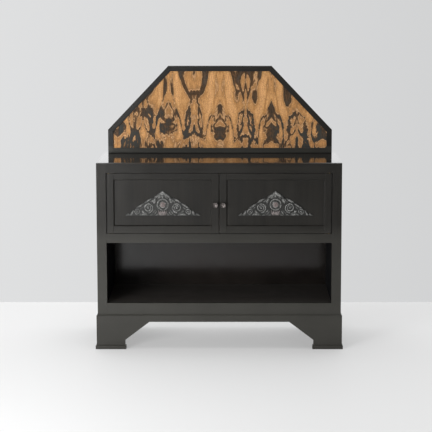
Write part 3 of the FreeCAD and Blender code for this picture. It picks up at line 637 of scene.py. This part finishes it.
def high_gloss():
    """Dark wood under a clear, full polish."""
    finish, tree, shader = new_finish("high gloss polished top")
    grain = grain_at(tree, along_board(tree, GRAIN_ACROSS))
    stained = ramp(tree, grain["Figure"], (0.3, TOP_DARK), (0.7, TOP_LIGHT))
    worn = mixed(tree, maths(tree, "MULTIPLY", worn_arrises(tree), TOP_RUB_SHARE), stained, TOP_RUBBED)
    tree.links.new(worn, shader.inputs["Base Color"])
    wiped = stretched(tree, object_place(tree), WIPING_STROKES)
    marks = noise(tree, wiped, detail=7.0, distortion=1.2)
    shader.inputs["Specular IOR Level"].default_value = TOP_REFLECTION
    tree.links.new(ramp(tree, marks, (0.35, 0.04), (0.7, 0.1)), shader.inputs["Roughness"])
    set_relief(tree, shader, grain["Height"], strength=0.04, distance=GRAIN_DEPTH)
    return finish


fit_sawn("top_board", "cabinet", "polished_top", high_gloss())

# Splashback
# A mitred frame of six thin lengths with clipped upper corners, grooved for the figured panel.
# The panel is book-matched veneer, amber with smoky patches, and a stained board closes the back.

SLOPE_TILT = math.atan2(
    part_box("hood_top_rail")[1].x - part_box("hood_bottom_rail")[1].x,
    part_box("hood_top_rail")[1].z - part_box("hood_right_post")[1].z,
)
VENEER_LEAF = 0.132

# Waves per metre across a leaf, from leaf to leaf, and up it
LEAF_FIGURE = (11.0, 0.5, 4.6)
LEAF_SPOT_IN_LOG = (22.4, 23.3, 40.9)
SMOKE_DRIFT = (9, 1, 6)
VENEER_FIBRES = (420, 1, 30)
CRACKLE_PER_METRE = 95.0

# Smoke's share and its shade, from clear amber through the pale rim to the heart of a patch
SMOKE_SHADES = [
    (0.36, (0.62, 0.335, 0.14)),
    (0.43, (0.52, 0.275, 0.105)),
    (0.47, (0.42, 0.21, 0.075)),
    (0.503, (0.28, 0.145, 0.058)),
    (0.516, (0.58, 0.345, 0.17)),
    (0.53, (0.17, 0.092, 0.04)),
    (0.54, (0.05, 0.028, 0.015)),
    (0.565, (0.028, 0.018, 0.011)),
    (0.62, (0.045, 0.048, 0.044)),
]
EDGE_OF_SMOKE = 0.52
FIBRE_BROWN = (0.17, 0.085, 0.035)
CRACKLE_BROWN = (0.13, 0.07, 0.035)
CRACKLE_SHARE = 0.5
INKY_GREEN = (0.03, 0.035, 0.033)
# Painted light: how much lighter the veneer is made at its foot
PAINTED_FOOT_LIGHT = (1.38, 1.38, 1.42)
VENEER_REFLECTION = 0.09

ebonised_left_slope = ebonised("ebonised wood, grain up the left slope", (0, SLOPE_TILT, 0))
ebonised_right_slope = ebonised("ebonised wood, grain up the right slope", (0, -SLOPE_TILT, 0))
fit_ebonised("cabinet", ebonised_across, "hood_bottom_rail", "hood_top_rail")
fit_ebonised("cabinet", ebonised_upright, "hood_left_post", "hood_right_post")
fit_ebonised("cabinet", ebonised_left_slope, "hood_left_slope")
fit_ebonised("cabinet", ebonised_right_slope, "hood_right_slope")
fit_sawn("hood_back_board", "cabinet", "back_board", upper_board)


def between(tree, value, low, high, at_low=0.0, at_high=1.0):
    """Turns a value from low to high into one between two others, held at both ends."""
    inputs = {"Value": value, "From Min": low, "From Max": high, "To Min": at_low, "To Max": at_high}
    return add_node(tree, "ShaderNodeMapRange", inputs).outputs["Result"]


def book_matched_veneer():
    """Amber veneer in mirrored leaves, with ragged smoky patches that have a pale edge, crackle, and painted
    light towards its foot.
    """
    finish, tree, shader = new_finish("figured amber veneer")
    parts = add_node(tree, "ShaderNodeSeparateXYZ", {"Vector": object_place(tree)}).outputs
    across = maths(tree, "PINGPONG", maths(tree, "ADD", parts["X"], VENEER_LEAF), VENEER_LEAF)
    in_leaf = {"X": across, "Y": parts["X"], "Z": parts["Z"]}
    leaf = add_node(tree, "ShaderNodeCombineXYZ", in_leaf).outputs["Vector"]
    in_half = {"X": maths(tree, "ABSOLUTE", parts["X"]), "Z": parts["Z"]}
    half = add_node(tree, "ShaderNodeCombineXYZ", in_half).outputs["Vector"]
    clouds = noise(tree, stretched(tree, leaf, LEAF_FIGURE, LEAF_SPOT_IN_LOG), detail=6.0, distortion=1.0)
    drift = noise(tree, stretched(tree, half, SMOKE_DRIFT), detail=5.0, distortion=0.9)
    low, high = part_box("figured_panel")
    rise = between(tree, parts["Z"], low.z, high.z)
    band = ramp(tree, rise, (0.1, 0.0), (0.22, 0.024), (0.34, 0.0), (0.45, 0.012), (1.0, 0.04))
    width = maths(tree, "ADD", band, ramp(tree, drift, (0.36, 0.018), (0.6, 0.062)))
    smoke = maths(tree, "SUBTRACT", maths(tree, "ADD", width, EDGE_OF_SMOKE), apart(tree, clouds, 0.5))
    cell_inputs = {"Vector": half, "Scale": CRACKLE_PER_METRE}
    cells = add_node(tree, "ShaderNodeTexVoronoi", cell_inputs, feature="DISTANCE_TO_EDGE")
    crackle = ramp(tree, cells.outputs["Distance"], (0.0, 1.0), (0.09, 0.0))
    fibres = noise(tree, stretched(tree, leaf, VENEER_FIBRES), detail=4.0)
    smoky = ramp(tree, smoke, *SMOKE_SHADES)
    fibred = mixed(tree, ramp(tree, fibres, (0.42, 0.0), (0.7, 0.5)), smoky, FIBRE_BROWN)
    crackled = mixed(tree, maths(tree, "MULTIPLY", crackle, CRACKLE_SHARE), fibred, CRACKLE_BROWN)
    bluish = ramp(tree, drift, (0.4, 0.15), (0.56, 0.8))
    low_down = maths(tree, "MULTIPLY", bluish, ramp(tree, rise, (0.35, 1.0), (0.6, 0.15)))
    in_smoke = ramp(tree, smoke, (0.53, 0.0), (0.555, 1.0))
    inked = mixed(tree, maths(tree, "MULTIPLY", low_down, in_smoke), crackled, INKY_GREEN)
    # Painted light: the veneer made lighter towards its foot
    painted_foot_light = ramp(tree, rise, (0.0, 1.0), (0.5, 0.0))
    tree.links.new(mixed(tree, painted_foot_light, inked, PAINTED_FOOT_LIGHT, "MULTIPLY"), shader.inputs["Base Color"])
    tree.links.new(ramp(tree, fibres, (0.3, 0.3), (0.7, 0.42)), shader.inputs["Roughness"])
    shader.inputs["Specular IOR Level"].default_value = VENEER_REFLECTION
    set_relief(tree, shader, maths(tree, "SUBTRACT", fibres, crackle), strength=0.15, distance=0.0001)
    return finish


fit_sawn("figured_panel", "cabinet", "figured_veneer", book_matched_veneer())

# Doors
# Two inset doors, each a tenoned frame round a flat panel held by a small bevelled bead.
# They are ebonised like the carcass and hang on pivots, so no knuckle shows at the front.

for body in ("door_left", "door_right"):
    fit_ebonised(body, ebonised_upright, body + "_hinge_stile", body + "_meeting_stile")
    fit_ebonised(body, ebonised_across, body + "_top_rail", body + "_bottom_rail")
    fit_ebonised(body, ebonised_upright, body + "_panel", body + "_bead")

# Carvings
# One low triangular carving is glued to each door panel: two pairs of scrolls, leaves along the slopes,
# a chevron over a ringed boss and a fan below, cut by hand in hardwood and limed grey over black.

GROUND_RISE = 0.0024
GROUND_ROUND = 0.0006
CARVED_SMOOTH_ANGLE = math.radians(40)
LEAF_SINK = 0.0004
LEAF_RIM = 0.0011
LEAF_GROOVE = 0.0009
LARGE_SCROLL = (0.0698, 0.0392)
SMALL_SCROLL = (0.1232, 0.0208)
VOLUTE_STEP = math.radians(18)
BOSS_RISE_FROM_FOOT = 0.055
BOSS_FLUTE_DEPTH = 0.06
FAN_START = 0.029
FAN_REACH = 0.0535
FLUTE_TURN = math.radians(10.5)
FLUTE_WIDTH = 0.0046
FLUTE_RISE = 0.0034
FLUTE_THICK = 0.0022
FLUTE_FLARE = 0.35
panel_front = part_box("door_left_panel")[0].y
carving_low, carving_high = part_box("door_left_carving")
carving_middle = (carving_low.x + carving_high.x) / 2
carving_foot = carving_low.z


def at_carving(across, up, rise):
    """A place on the left carving, from its middle, its foot and the door panel."""
    return Vector((carving_middle + across, panel_front - rise, carving_foot + up))


def carved_ground():
    """The carving's thin ground with its leafy outline, its edge rounded over."""
    ground = opened_copy("door_left_carving", "carving_ground")
    bpy.ops.mesh.bisect(
        plane_co=at_carving(0, 0, GROUND_RISE), plane_no=(0, -1, 0), clear_outer=True, use_fill=True
    )
    bpy.ops.mesh.select_all(action="SELECT")
    select_arrises()
    bpy.ops.mesh.bevel(offset=GROUND_ROUND, segments=2, affect="EDGES")
    bpy.ops.object.mode_set(mode="OBJECT")
    return ground


def carved_leaf(outline, crown):
    """A leaf of this outline, raised from the ground with a grooved crown of this height."""
    bpy.ops.mesh.primitive_circle_add(vertices=len(outline), fill_type="NGON")
    leaf = bpy.context.object
    for corner, (across, up) in zip(leaf.data.vertices, outline):
        corner.co = at_carving(across / 1000, up / 1000, GROUND_RISE - LEAF_SINK)
    edit_all()
    bpy.ops.mesh.extrude_region_move(TRANSFORM_OT_translate={"value": (0, -crown * 0.45, 0)})
    bpy.ops.mesh.inset(thickness=LEAF_RIM, depth=crown * 0.3)
    bpy.ops.mesh.inset(thickness=LEAF_GROOVE, depth=-crown * 0.25)
    bpy.ops.mesh.poke(offset=crown * 0.5)
    bpy.ops.object.mode_set(mode="OBJECT")
    return settled(leaf)


def volute(middle, reach, thickness, turns, way, rise):
    """A half-sunk roll that winds in to an eye and thins to half; way is 1 for clockwise."""
    steps = round(turns * math.tau / VOLUTE_STEP)
    taper = 0.5 ** (1 / steps)
    centre = at_carving(middle[0], middle[1], rise)
    start = reach - thickness
    first_ring = centre - Vector((0, 0, start))
    eye_reach = thickness * 1.5
    loss = (start - eye_reach - thickness) / steps
    bpy.ops.mesh.primitive_circle_add(vertices=10, radius=thickness, fill_type="NOTHING", location=first_ring)
    roll = bpy.context.object
    bpy.ops.object.transform_apply(location=True, rotation=False, scale=False)
    edit_all()
    bpy.ops.transform.rotate(value=math.radians(90), orient_axis="Y", center_override=first_ring)
    bpy.ops.mesh.edge_face_add()
    for number in range(steps):
        shrink = 1 - loss / (start - loss * number)
        bpy.ops.mesh.spin(steps=1, angle=VOLUTE_STEP * way, center=centre, axis=(0, 1, 0))
        bpy.ops.transform.resize(value=(shrink, 1, shrink), center_override=centre)
        ring = [corner.co for corner in bmesh.from_edit_mesh(roll.data).verts if corner.select]
        middle_of_ring = sum(ring, Vector()) / len(ring)
        widen = taper / shrink
        bpy.ops.transform.resize(value=(widen, taper, widen), center_override=middle_of_ring)
    bpy.ops.object.mode_set(mode="OBJECT")
    bpy.ops.mesh.primitive_uv_sphere_add(segments=14, ring_count=8, radius=eye_reach, location=centre)
    eye = bpy.context.object
    return settled(joined([roll, eye], "volute"))


def turned_ring(reach, thickness, rise):
    """A plain turned ring round the boss."""
    bpy.ops.mesh.primitive_torus_add(
        major_radius=reach,
        minor_radius=thickness,
        major_segments=36,
        minor_segments=8,
        location=at_carving(0, BOSS_RISE_FROM_FOOT, rise),
        rotation=(math.radians(90), 0, 0),
    )
    return settled(bpy.context.object)


def domed_boss(reach, height, rise, petals):
    """A dome with shallow flutes round its foot."""
    centre = at_carving(0, BOSS_RISE_FROM_FOOT, rise)
    bpy.ops.mesh.primitive_uv_sphere_add(
        segments=petals * 4,
        ring_count=14,
        radius=reach,
        location=centre,
        rotation=(math.radians(90), 0, 0),
    )
    boss = settled(bpy.context.object)
    for corner in boss.data.vertices:
        offset = corner.co - centre
        from_axis = math.hypot(offset.x, offset.z) / reach
        angle = math.atan2(offset.x, offset.z)
        flute = 1 - BOSS_FLUTE_DEPTH * abs(math.sin(petals * angle / 2)) * from_axis
        corner.co = centre + Vector((offset.x * flute, offset.y * height / reach, offset.z * flute))
    return boss


def fan_flute(angle, far):
    """One ray of the fan, a long drop that widens outwards."""
    centre = at_carving(0, BOSS_RISE_FROM_FOOT, FLUTE_RISE)
    half_length = (far - FAN_START) / 2
    middle = (far + FAN_START) / 2
    bpy.ops.mesh.primitive_uv_sphere_add(segments=12, ring_count=8, radius=1)
    flute = bpy.context.object
    flute.scale = (FLUTE_WIDTH, FLUTE_THICK, half_length)
    bpy.ops.object.transform_apply(location=False, rotation=False, scale=True)
    for corner in flute.data.vertices:
        corner.co.x *= 1 - FLUTE_FLARE * corner.co.z / half_length
    flute.location = centre + Vector((math.sin(angle) * middle, 0, -math.cos(angle) * middle))
    flute.rotation_euler = (0, angle, 0)
    bpy.ops.object.transform_apply(location=True, rotation=True, scale=False)
    return settled(flute)


# Leaf outlines of the left half in millimetres, from the carving's middle and its foot
LEAF_OUTLINES = [
    [(-181, 1), (-171, 1), (-161, 4), (-164, 12), (-172, 8)],
    [(-159, 2), (-150, 2), (-144, 14), (-141, 28), (-149, 22), (-155, 11)],
    [(-129, 37), (-118, 38), (-100, 49), (-91, 60), (-104, 57), (-118, 48)],
    [(-113, 31), (-105, 33), (-97, 43), (-104, 42)],
    [(-91, 62), (-80, 64), (-62, 74), (-53, 85), (-66, 82), (-82, 73)],
    [(-61, 67), (-51, 68), (-43, 76), (-50, 80)],
    [(-54, 12), (-50, 8), (-39, 19), (-34, 30), (-42, 25)],
    [(-45, 6), (-40, 3), (-30, 14), (-27, 25), (-35, 19)],
    [(-66, 1), (-56, 1), (-47, 4), (-57, 9)],
    [(-36, 1), (-22, 1), (-20, 13), (-27, 9)],
    [(-114, 2), (-92, 1), (-71, 2), (-80, 8), (-96, 13), (-108, 10)],
    [(-103, 24), (-98, 15), (-86, 9), (-75, 11), (-88, 17), (-96, 27)],
    [(-44, 60), (-36, 64), (-30, 78), (-34, 88), (-43, 80), (-48, 69)],
    [(-25, 84), (-17, 85), (-7, 93), (-13, 98), (-23, 92)],
]
CREST_OUTLINE = [(0, 86), (7, 94), (0, 107), (-7, 94)]
CHEVRON_OUTLINE = [(-38, 91), (-30, 88), (0, 110), (30, 88), (38, 91), (0, 121)]


def half_of_carving():
    """The pieces left of the middle: leaves, scrolls and the side rays of the fan."""
    parts = [carved_leaf(outline, crown=0.0032) for outline in LEAF_OUTLINES]
    large = (-LARGE_SCROLL[0], LARGE_SCROLL[1])
    small = (-SMALL_SCROLL[0], SMALL_SCROLL[1])
    parts.append(volute(large, reach=0.0272, thickness=0.0036, turns=1.7, way=1, rise=0.0038))
    parts.append(volute(small, reach=0.0168, thickness=0.0026, turns=1.4, way=-1, rise=0.0034))
    for number in (1, 2):
        angle = FLUTE_TURN * number
        parts.append(fan_flute(-angle, FAN_REACH / math.cos(angle)))
    return joined(parts, "carving_half")


def mirrored_copy(piece, middle):
    """The same piece on the other side of an upright plane through this x."""
    twin = new_object(piece.name + "_mirrored", piece.data.copy())
    twin.scale = (-1, 1, 1)
    twin.location = (middle * 2, 0, 0)
    return settled(twin)


BLACK_GROUND = (0.012, 0.012, 0.011)
LIME_DARK = (0.085, 0.088, 0.084)
LIME_LIGHT = (0.25, 0.25, 0.24)
ROSY_LIME = (0.15, 0.118, 0.113)
ROSY_FAN_SHARE = 0.7
ROSY_HALF_WIDTH = 0.023
FAN_TOP = 0.027
HOLLOW_REACH = 0.006

# Rise above the door panel where the liming starts and is full, and the same for the boss's tint
LIMED_RISE = (0.0025, 0.0046)
ROSY_RISE = (0.0068, 0.008)


def limed_wood():
    """Black wood with silvery liming left on the high cuts, pinkish on the boss and the fan."""
    finish, tree, shader = new_finish("limed black carving")
    place = object_place(tree)
    spot = add_node(tree, "ShaderNodeSeparateXYZ", {"Vector": place}).outputs
    rise = maths(tree, "SUBTRACT", panel_front, spot["Y"])
    high = between(tree, rise, *LIMED_RISE)
    smudges = noise(tree, place, scale=130.0, detail=6.0, roughness=0.65)
    left_on = ramp(tree, smudges, (0.36, 0.35), (0.62, 1.0))
    hollows = add_node(tree, "ShaderNodeAmbientOcclusion", {"Distance": HOLLOW_REACH}, samples=6)
    open_cut = ramp(tree, hollows.outputs["AO"], (0.35, 0.0), (0.85, 1.0))
    limed = maths(tree, "MULTIPLY", maths(tree, "MULTIPLY", high, left_on), open_cut)
    lime = ramp(tree, smudges, (0.35, LIME_DARK), (0.65, LIME_LIGHT))
    aside = apart(tree, maths(tree, "ABSOLUTE", spot["X"]), abs(carving_middle))
    near_middle = maths(tree, "LESS_THAN", aside, ROSY_HALF_WIDTH)
    below_boss = maths(tree, "LESS_THAN", spot["Z"], carving_foot + FAN_TOP)
    fan = maths(tree, "MULTIPLY", near_middle, below_boss)
    boss = maths(tree, "MULTIPLY", between(tree, rise, *ROSY_RISE), near_middle)
    rosy = maths(tree, "MAXIMUM", boss, maths(tree, "MULTIPLY", fan, ROSY_FAN_SHARE))
    tinted = mixed(tree, rosy, lime, ROSY_LIME)
    tree.links.new(mixed(tree, limed, BLACK_GROUND, tinted), shader.inputs["Base Color"])
    tree.links.new(ramp(tree, limed, (0.0, 0.42), (1.0, 0.62)), shader.inputs["Roughness"])
    chisel_marks = noise(tree, place, scale=420.0, detail=3.0)
    set_relief(tree, shader, chisel_marks, strength=0.3, distance=0.0003)
    return finish


limed = limed_wood()
half = half_of_carving()
other_half = mirrored_copy(half, carving_middle)
carving_parts = [
    carved_ground(),
    half,
    other_half,
    carved_leaf(CREST_OUTLINE, crown=0.0044),
    carved_leaf(CHEVRON_OUTLINE, crown=0.0036),
    turned_ring(reach=0.0266, thickness=0.0026, rise=0.0032),
    turned_ring(reach=0.0216, thickness=0.0011, rise=0.0032),
    domed_boss(reach=0.0172, height=0.0068, rise=0.0030, petals=8),
    fan_flute(0.0, FAN_REACH),
]
left_carving = joined(carving_parts, "door_left_carving_limed")
take(left_carving)
bpy.ops.object.shade_smooth_by_angle(angle=CARVED_SMOOTH_ANGLE)
door_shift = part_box("door_right_carving")[0].x - carving_low.x
right_carving = copied(left_carving, (door_shift, 0, 0))
right_carving.name = "door_right_carving_limed"
take(right_carving)
bpy.ops.object.shade_smooth_by_angle(angle=CARVED_SMOOTH_ANGLE)
fit(left_carving, "door_left", "limed_carving", limed, "door_left_carving")
fit(right_carving, "door_right", "limed_carving", limed, "door_right_carving")

# Knobs
# Small turned knobs of patinated brass with a dished face inside a round rim,
# each held by a steel bolt through the meeting stile.

KNOB_SMOOTH_ANGLE = math.radians(50)

# Half section of the knob in millimetres, as radius and distance in front of the stile
KNOB_SECTION = [
    (0, 0),
    (8.0, 0),
    (8.0, 2.4),
    (7.4, 3.4),
    (6.0, 4.0),
    (4.8, 5.2),
    (4.5, 8.0),
    (4.7, 11.0),
    (5.8, 13.6),
    (7.6, 15.4),
    (10.2, 16.8),
    (12.2, 18.2),
    (12.9, 20.0),
    (13.0, 21.6),
    (12.6, 23.0),
    (11.7, 23.9),
    (10.6, 23.7),
    (9.9, 22.9),
    (9.0, 21.6),
    (6.0, 20.7),
    (3.0, 20.5),
    (0, 20.5),
]


def turned_knob(side):
    """The knob's section, drawn from one point and spun round the knob's own middle."""
    low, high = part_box(f"door_{side}_knob")
    middle = Vector(((low.x + high.x) / 2, high.y, (low.z + high.z) / 2))
    bpy.ops.mesh.primitive_plane_add(size=0.001)
    knob = bpy.context.object
    knob.name = f"door_{side}_knob_turned"
    edit_all()
    bpy.ops.mesh.select_mode(type="VERT")
    bpy.ops.mesh.merge(type="CENTER")
    bpy.ops.mesh.select_all(action="SELECT")
    bpy.ops.transform.translate(value=middle)
    for (radius, out), (next_radius, next_out) in zip(KNOB_SECTION, KNOB_SECTION[1:]):
        step = Vector((next_radius - radius, out - next_out, 0)) / 1000
        bpy.ops.mesh.extrude_vertices_move(TRANSFORM_OT_translate={"value": step})
    bpy.ops.mesh.select_all(action="SELECT")
    bpy.ops.mesh.spin(steps=40, angle=math.tau, center=middle, axis=(0, 1, 0))
    bpy.ops.object.mode_set(mode="OBJECT")
    settled(knob)
    bpy.ops.object.shade_smooth_by_angle(angle=KNOB_SMOOTH_ANGLE)
    return knob


patina = metal(
    "patinated brass",
    dark=(0.1, 0.088, 0.084),
    light=(0.38, 0.345, 0.33),
    roughness=(0.42, 0.6),
    scale=160.0,
)
for side in ("left", "right"):
    fit(turned_knob(side), "door_" + side, "knob_metal", patina, f"door_{side}_knob")
    finish_solid(f"door_{side}_knob_bolt", steel)

# Pivot hinges
# Flat brass leaves let into the frame rails and the ends of the door stiles,
# with a collared pin between each pair and two countersunk screws in every leaf.

SCREW_RADIUS = 0.002
SCREW_PROUD = 0.00015
SCREW_SLOT = 0.0005
SCREW_SHARES = (0.17, 0.47)
LEAF_THICK = 0.003
FACES_UP = 0.9
brass = metal(
    "tarnished brass",
    dark=(0.035, 0.025, 0.013),
    light=(0.18, 0.13, 0.06),
    roughness=(0.35, 0.55),
    scale=90.0,
)


def slotted_head():
    """A countersunk screw head with a straight slot, facing up, at the origin."""
    bpy.ops.mesh.primitive_cylinder_add(vertices=16, radius=SCREW_RADIUS, depth=SCREW_PROUD * 2)
    head = bpy.context.object
    bpy.ops.object.mode_set(mode="EDIT")
    for slot_side in (-1, 1):
        bpy.ops.mesh.select_all(action="SELECT")
        bpy.ops.mesh.bisect(plane_co=(0, slot_side * SCREW_SLOT / 2, 0), plane_no=(0, 1, 0))
    bpy.ops.mesh.select_mode(type="FACE")
    bpy.ops.mesh.select_all(action="DESELECT")
    shape = bmesh.from_edit_mesh(head.data)
    for face in shape.faces:
        middle = face.calc_center_median()
        face.select_set(face.normal.z > FACES_UP and abs(middle.y) < SCREW_SLOT / 2)
    bmesh.update_edit_mesh(head.data)
    bpy.ops.mesh.extrude_region_move(TRANSFORM_OT_translate={"value": (0, 0, -SCREW_PROUD)})
    bpy.ops.object.mode_set(mode="OBJECT")
    return settled(head)


pattern_head = slotted_head()
for side, outwards in (("left", -1), ("right", 1)):
    for part, body, levels in (
        ("frame", "cabinet", (LEAF_THICK, -LEAF_THICK)),
        ("door", "door_" + side, (0.0, 0.0)),
    ):
        low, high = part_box(f"hinge_{side}_{part}_leaves")
        inner = low.x if side == "right" else high.x
        heads = []
        for share in SCREW_SHARES:
            x = inner + outwards * share * (high.x - low.x)
            for z in (low.z + levels[0], high.z + levels[1]):
                heads.append(copied(pattern_head, (x, (low.y + high.y) / 2, z)))
        fit(joined(heads, f"hinge_{side}_{part}_screws"), body, "hinge_brass", brass)
    for part in ("pins", "frame_leaves", "door_leaves"):
        finish_solid(f"hinge_{side}_{part}", brass)
bpy.data.objects.remove(pattern_head)

# Studio
# A plain pale floor and a pale wall close behind. The key lamp stands at the left front and shows in the
# gloss; two low lamps and one overhead do not. The camera stands well back, at eye height.

ROOM_SIZE = 30
WALL_Y = 0.81

# Spans over which the room's shade changes, from left to right or from the sideboard to the lamps
FLOOR_SHADE_SPAN = (-0.8, 1.0)
FLOOR_GLOW_SPAN = (-0.9, 0.5)
WALL_SHADE_SPAN = (-1.2, 1.2)
LAMP_SPAN = (-1.6, -5.0)
FLOOR_GLOW = (0.38, 0.325)
WHITE = (1, 1, 1, 1)
FLOOR_DARK = (0.86, 0.86, 0.86)
FLOOR_LIGHT = (0.89, 0.89, 0.89)
FLOOR_IN_GLOSS = (0.36, 0.35, 0.34)
FLOOR_UNLIT = (0.2, 0.2, 0.2)
FLOOR_SEEN = (0.39, 0.39, 0.39)
FLOOR_SEEN_BY_LAMPS = (0.06, 0.06, 0.06)
WALL_LEFT = (0.735, 0.74, 0.745)
WALL_RIGHT = (0.645, 0.65, 0.655)
WALL_IN_GLOSS = 2.1
WALL_FOR_DIFFUSE = 1.9
WORLD_IN_DIFFUSE = 0.36
WORLD_SEEN = 0.8
LAMP_AIM = Vector((0, 0, 0.6))


def blended(tree, factor, first, second):
    """A value between two others."""
    return add_node(tree, "ShaderNodeMix", {0: factor, 2: first, 3: second}).outputs[0]


def floor_finish():
    """Pale paint, dimmer in reflections; where the camera sees it, darker paint, darker still towards the
    lamps, under a painted glow that is lighter on the left and lifts the shadows.
    """
    finish, tree, shader = new_finish("pale studio floor")
    shader.inputs["Roughness"].default_value = 0.7
    shader.inputs["Specular IOR Level"].default_value = 0.2
    place = object_place(tree)
    spot = add_node(tree, "ShaderNodeSeparateXYZ", {"Vector": place}).outputs
    ray = add_node(tree, "ShaderNodeLightPath").outputs
    dust = noise(tree, place, scale=1.5, detail=3.0)
    paint = ramp(tree, dust, (0.3, FLOOR_DARK), (0.7, FLOOR_LIGHT))
    rightwards = between(tree, spot["X"], *FLOOR_SHADE_SPAN)
    shaded = mixed(tree, maths(tree, "MULTIPLY", rightwards, ray["Is Glossy Ray"]), paint, FLOOR_IN_GLOSS)
    to_lamps = between(tree, spot["Y"], *LAMP_SPAN)
    mirrored = mixed(tree, maths(tree, "MULTIPLY", to_lamps, ray["Is Glossy Ray"]), shaded, FLOOR_UNLIT)
    seen = mixed(tree, to_lamps, FLOOR_SEEN, FLOOR_SEEN_BY_LAMPS)
    tree.links.new(mixed(tree, ray["Is Camera Ray"], mirrored, seen), shader.inputs["Base Color"])
    # Painted light: a glow seen only by the camera, lighter on the left, that lifts the floor and its shadows
    pale = between(tree, spot["X"], *FLOOR_GLOW_SPAN, *FLOOR_GLOW)
    shader.inputs["Emission Color"].default_value = WHITE
    tree.links.new(maths(tree, "MULTIPLY", pale, ray["Is Camera Ray"]), shader.inputs["Emission Strength"])
    return finish


def wall_finish():
    """A wall that glows on its front, in painted shade that darkens from left to right, brighter in
    reflections, and is clear from behind.
    """
    finish, tree, shader = new_finish("pale studio wall")
    tree.nodes.remove(shader)
    ray = add_node(tree, "ShaderNodeLightPath").outputs
    rightwards = between(tree, part_of(tree, object_place(tree), "X"), *WALL_SHADE_SPAN)
    shade = ramp(tree, rightwards, (0.0, WALL_LEFT), (1.0, WALL_RIGHT))
    mirrored = between(tree, ray["Is Glossy Ray"], 0.0, 1.0, at_low=1.0, at_high=WALL_IN_GLOSS)
    brightness = blended(tree, ray["Is Diffuse Ray"], mirrored, WALL_FOR_DIFFUSE)
    glow = add_node(tree, "ShaderNodeEmission", {"Color": shade, "Strength": brightness})
    clear = add_node(tree, "ShaderNodeBsdfTransparent")
    behind = add_node(tree, "ShaderNodeNewGeometry").outputs["Backfacing"]
    both = add_node(tree, "ShaderNodeMixShader", {0: behind, 1: glow.outputs[0], 2: clear.outputs[0]})
    tree.links.new(both.outputs[0], tree.nodes["Material Output"].inputs["Surface"])
    return finish


bpy.ops.mesh.primitive_plane_add(size=ROOM_SIZE, location=(0, 0, 0))
floor = bpy.context.object
floor.name = "studio_floor"
floor.data.materials.append(floor_finish())
bpy.ops.mesh.primitive_plane_add(
    size=ROOM_SIZE, location=(0, WALL_Y, 0), rotation=(math.radians(90), 0, 0)
)
wall = bpy.context.object
wall.name = "studio_wall"
wall.data.materials.append(wall_finish())

world = bpy.data.worlds.new("soft studio")
bpy.context.scene.world = world
world.use_nodes = True
tree = world.node_tree
ray = add_node(tree, "ShaderNodeLightPath").outputs
seen = maths(tree, "MAXIMUM", ray["Is Camera Ray"], ray["Is Transmission Ray"])
direction = add_node(tree, "ShaderNodeTexCoord").outputs["Generated"]
dome = ramp(tree, part_of(tree, direction, "Z"), (0.0, 1.0), (0.25, 0.75), (0.7, 0.3))
rightwards = between(tree, part_of(tree, direction, "X"), -1.0, 1.0)
in_gloss = maths(tree, "MULTIPLY", dome, ramp(tree, rightwards, (0.0, 0.85), (0.5, 0.3), (1.0, 0.05)))
lit = blended(tree, ray["Is Glossy Ray"], WORLD_IN_DIFFUSE, in_gloss)
background = tree.nodes["Background"]
tree.links.new(blended(tree, seen, lit, WORLD_SEEN), background.inputs["Strength"])
background.inputs["Color"].default_value = WHITE


def soft_lamp(name, spot, size, power, mirrored):
    """A square lamp that faces the middle of the sideboard; mirrored is whether gloss shows it."""
    lamp_data = bpy.data.lights.new(name, "AREA")
    lamp_data.shape = "SQUARE"
    lamp_data.size = size
    lamp_data.energy = power
    lamp = new_object(name, lamp_data)
    lamp.visible_glossy = mirrored
    lamp.location = spot
    lamp.rotation_euler = (LAMP_AIM - Vector(spot)).to_track_quat("-Z", "Y").to_euler()


soft_lamp("key_lamp", (-2.0, -3.3, 0.9), size=1.4, power=70, mirrored=True)
soft_lamp("low_key_lamp", (-2.6, -3.6, 0.75), size=1.3, power=80, mirrored=False)
soft_lamp("low_fill_lamp", (2.8, -3.4, 0.75), size=1.3, power=12, mirrored=False)
soft_lamp("top_lamp", (0.0, -0.2, 4.4), size=2.4, power=65, mirrored=False)

camera_data = bpy.data.cameras.new("photo_camera")
camera_data.sensor_width = 36
camera_data.lens = 114.3
camera_data.shift_x = -0.043
camera_data.shift_y = -0.125
camera_data.clip_end = 80
camera = new_object("photo_camera", camera_data)
camera.location = (0.0752, -6.8134, 1.7468)
camera.rotation_euler = (math.radians(82.924), 0, 0)
bpy.context.scene.camera = camera
bpy.context.scene.view_settings.view_transform = "Standard"
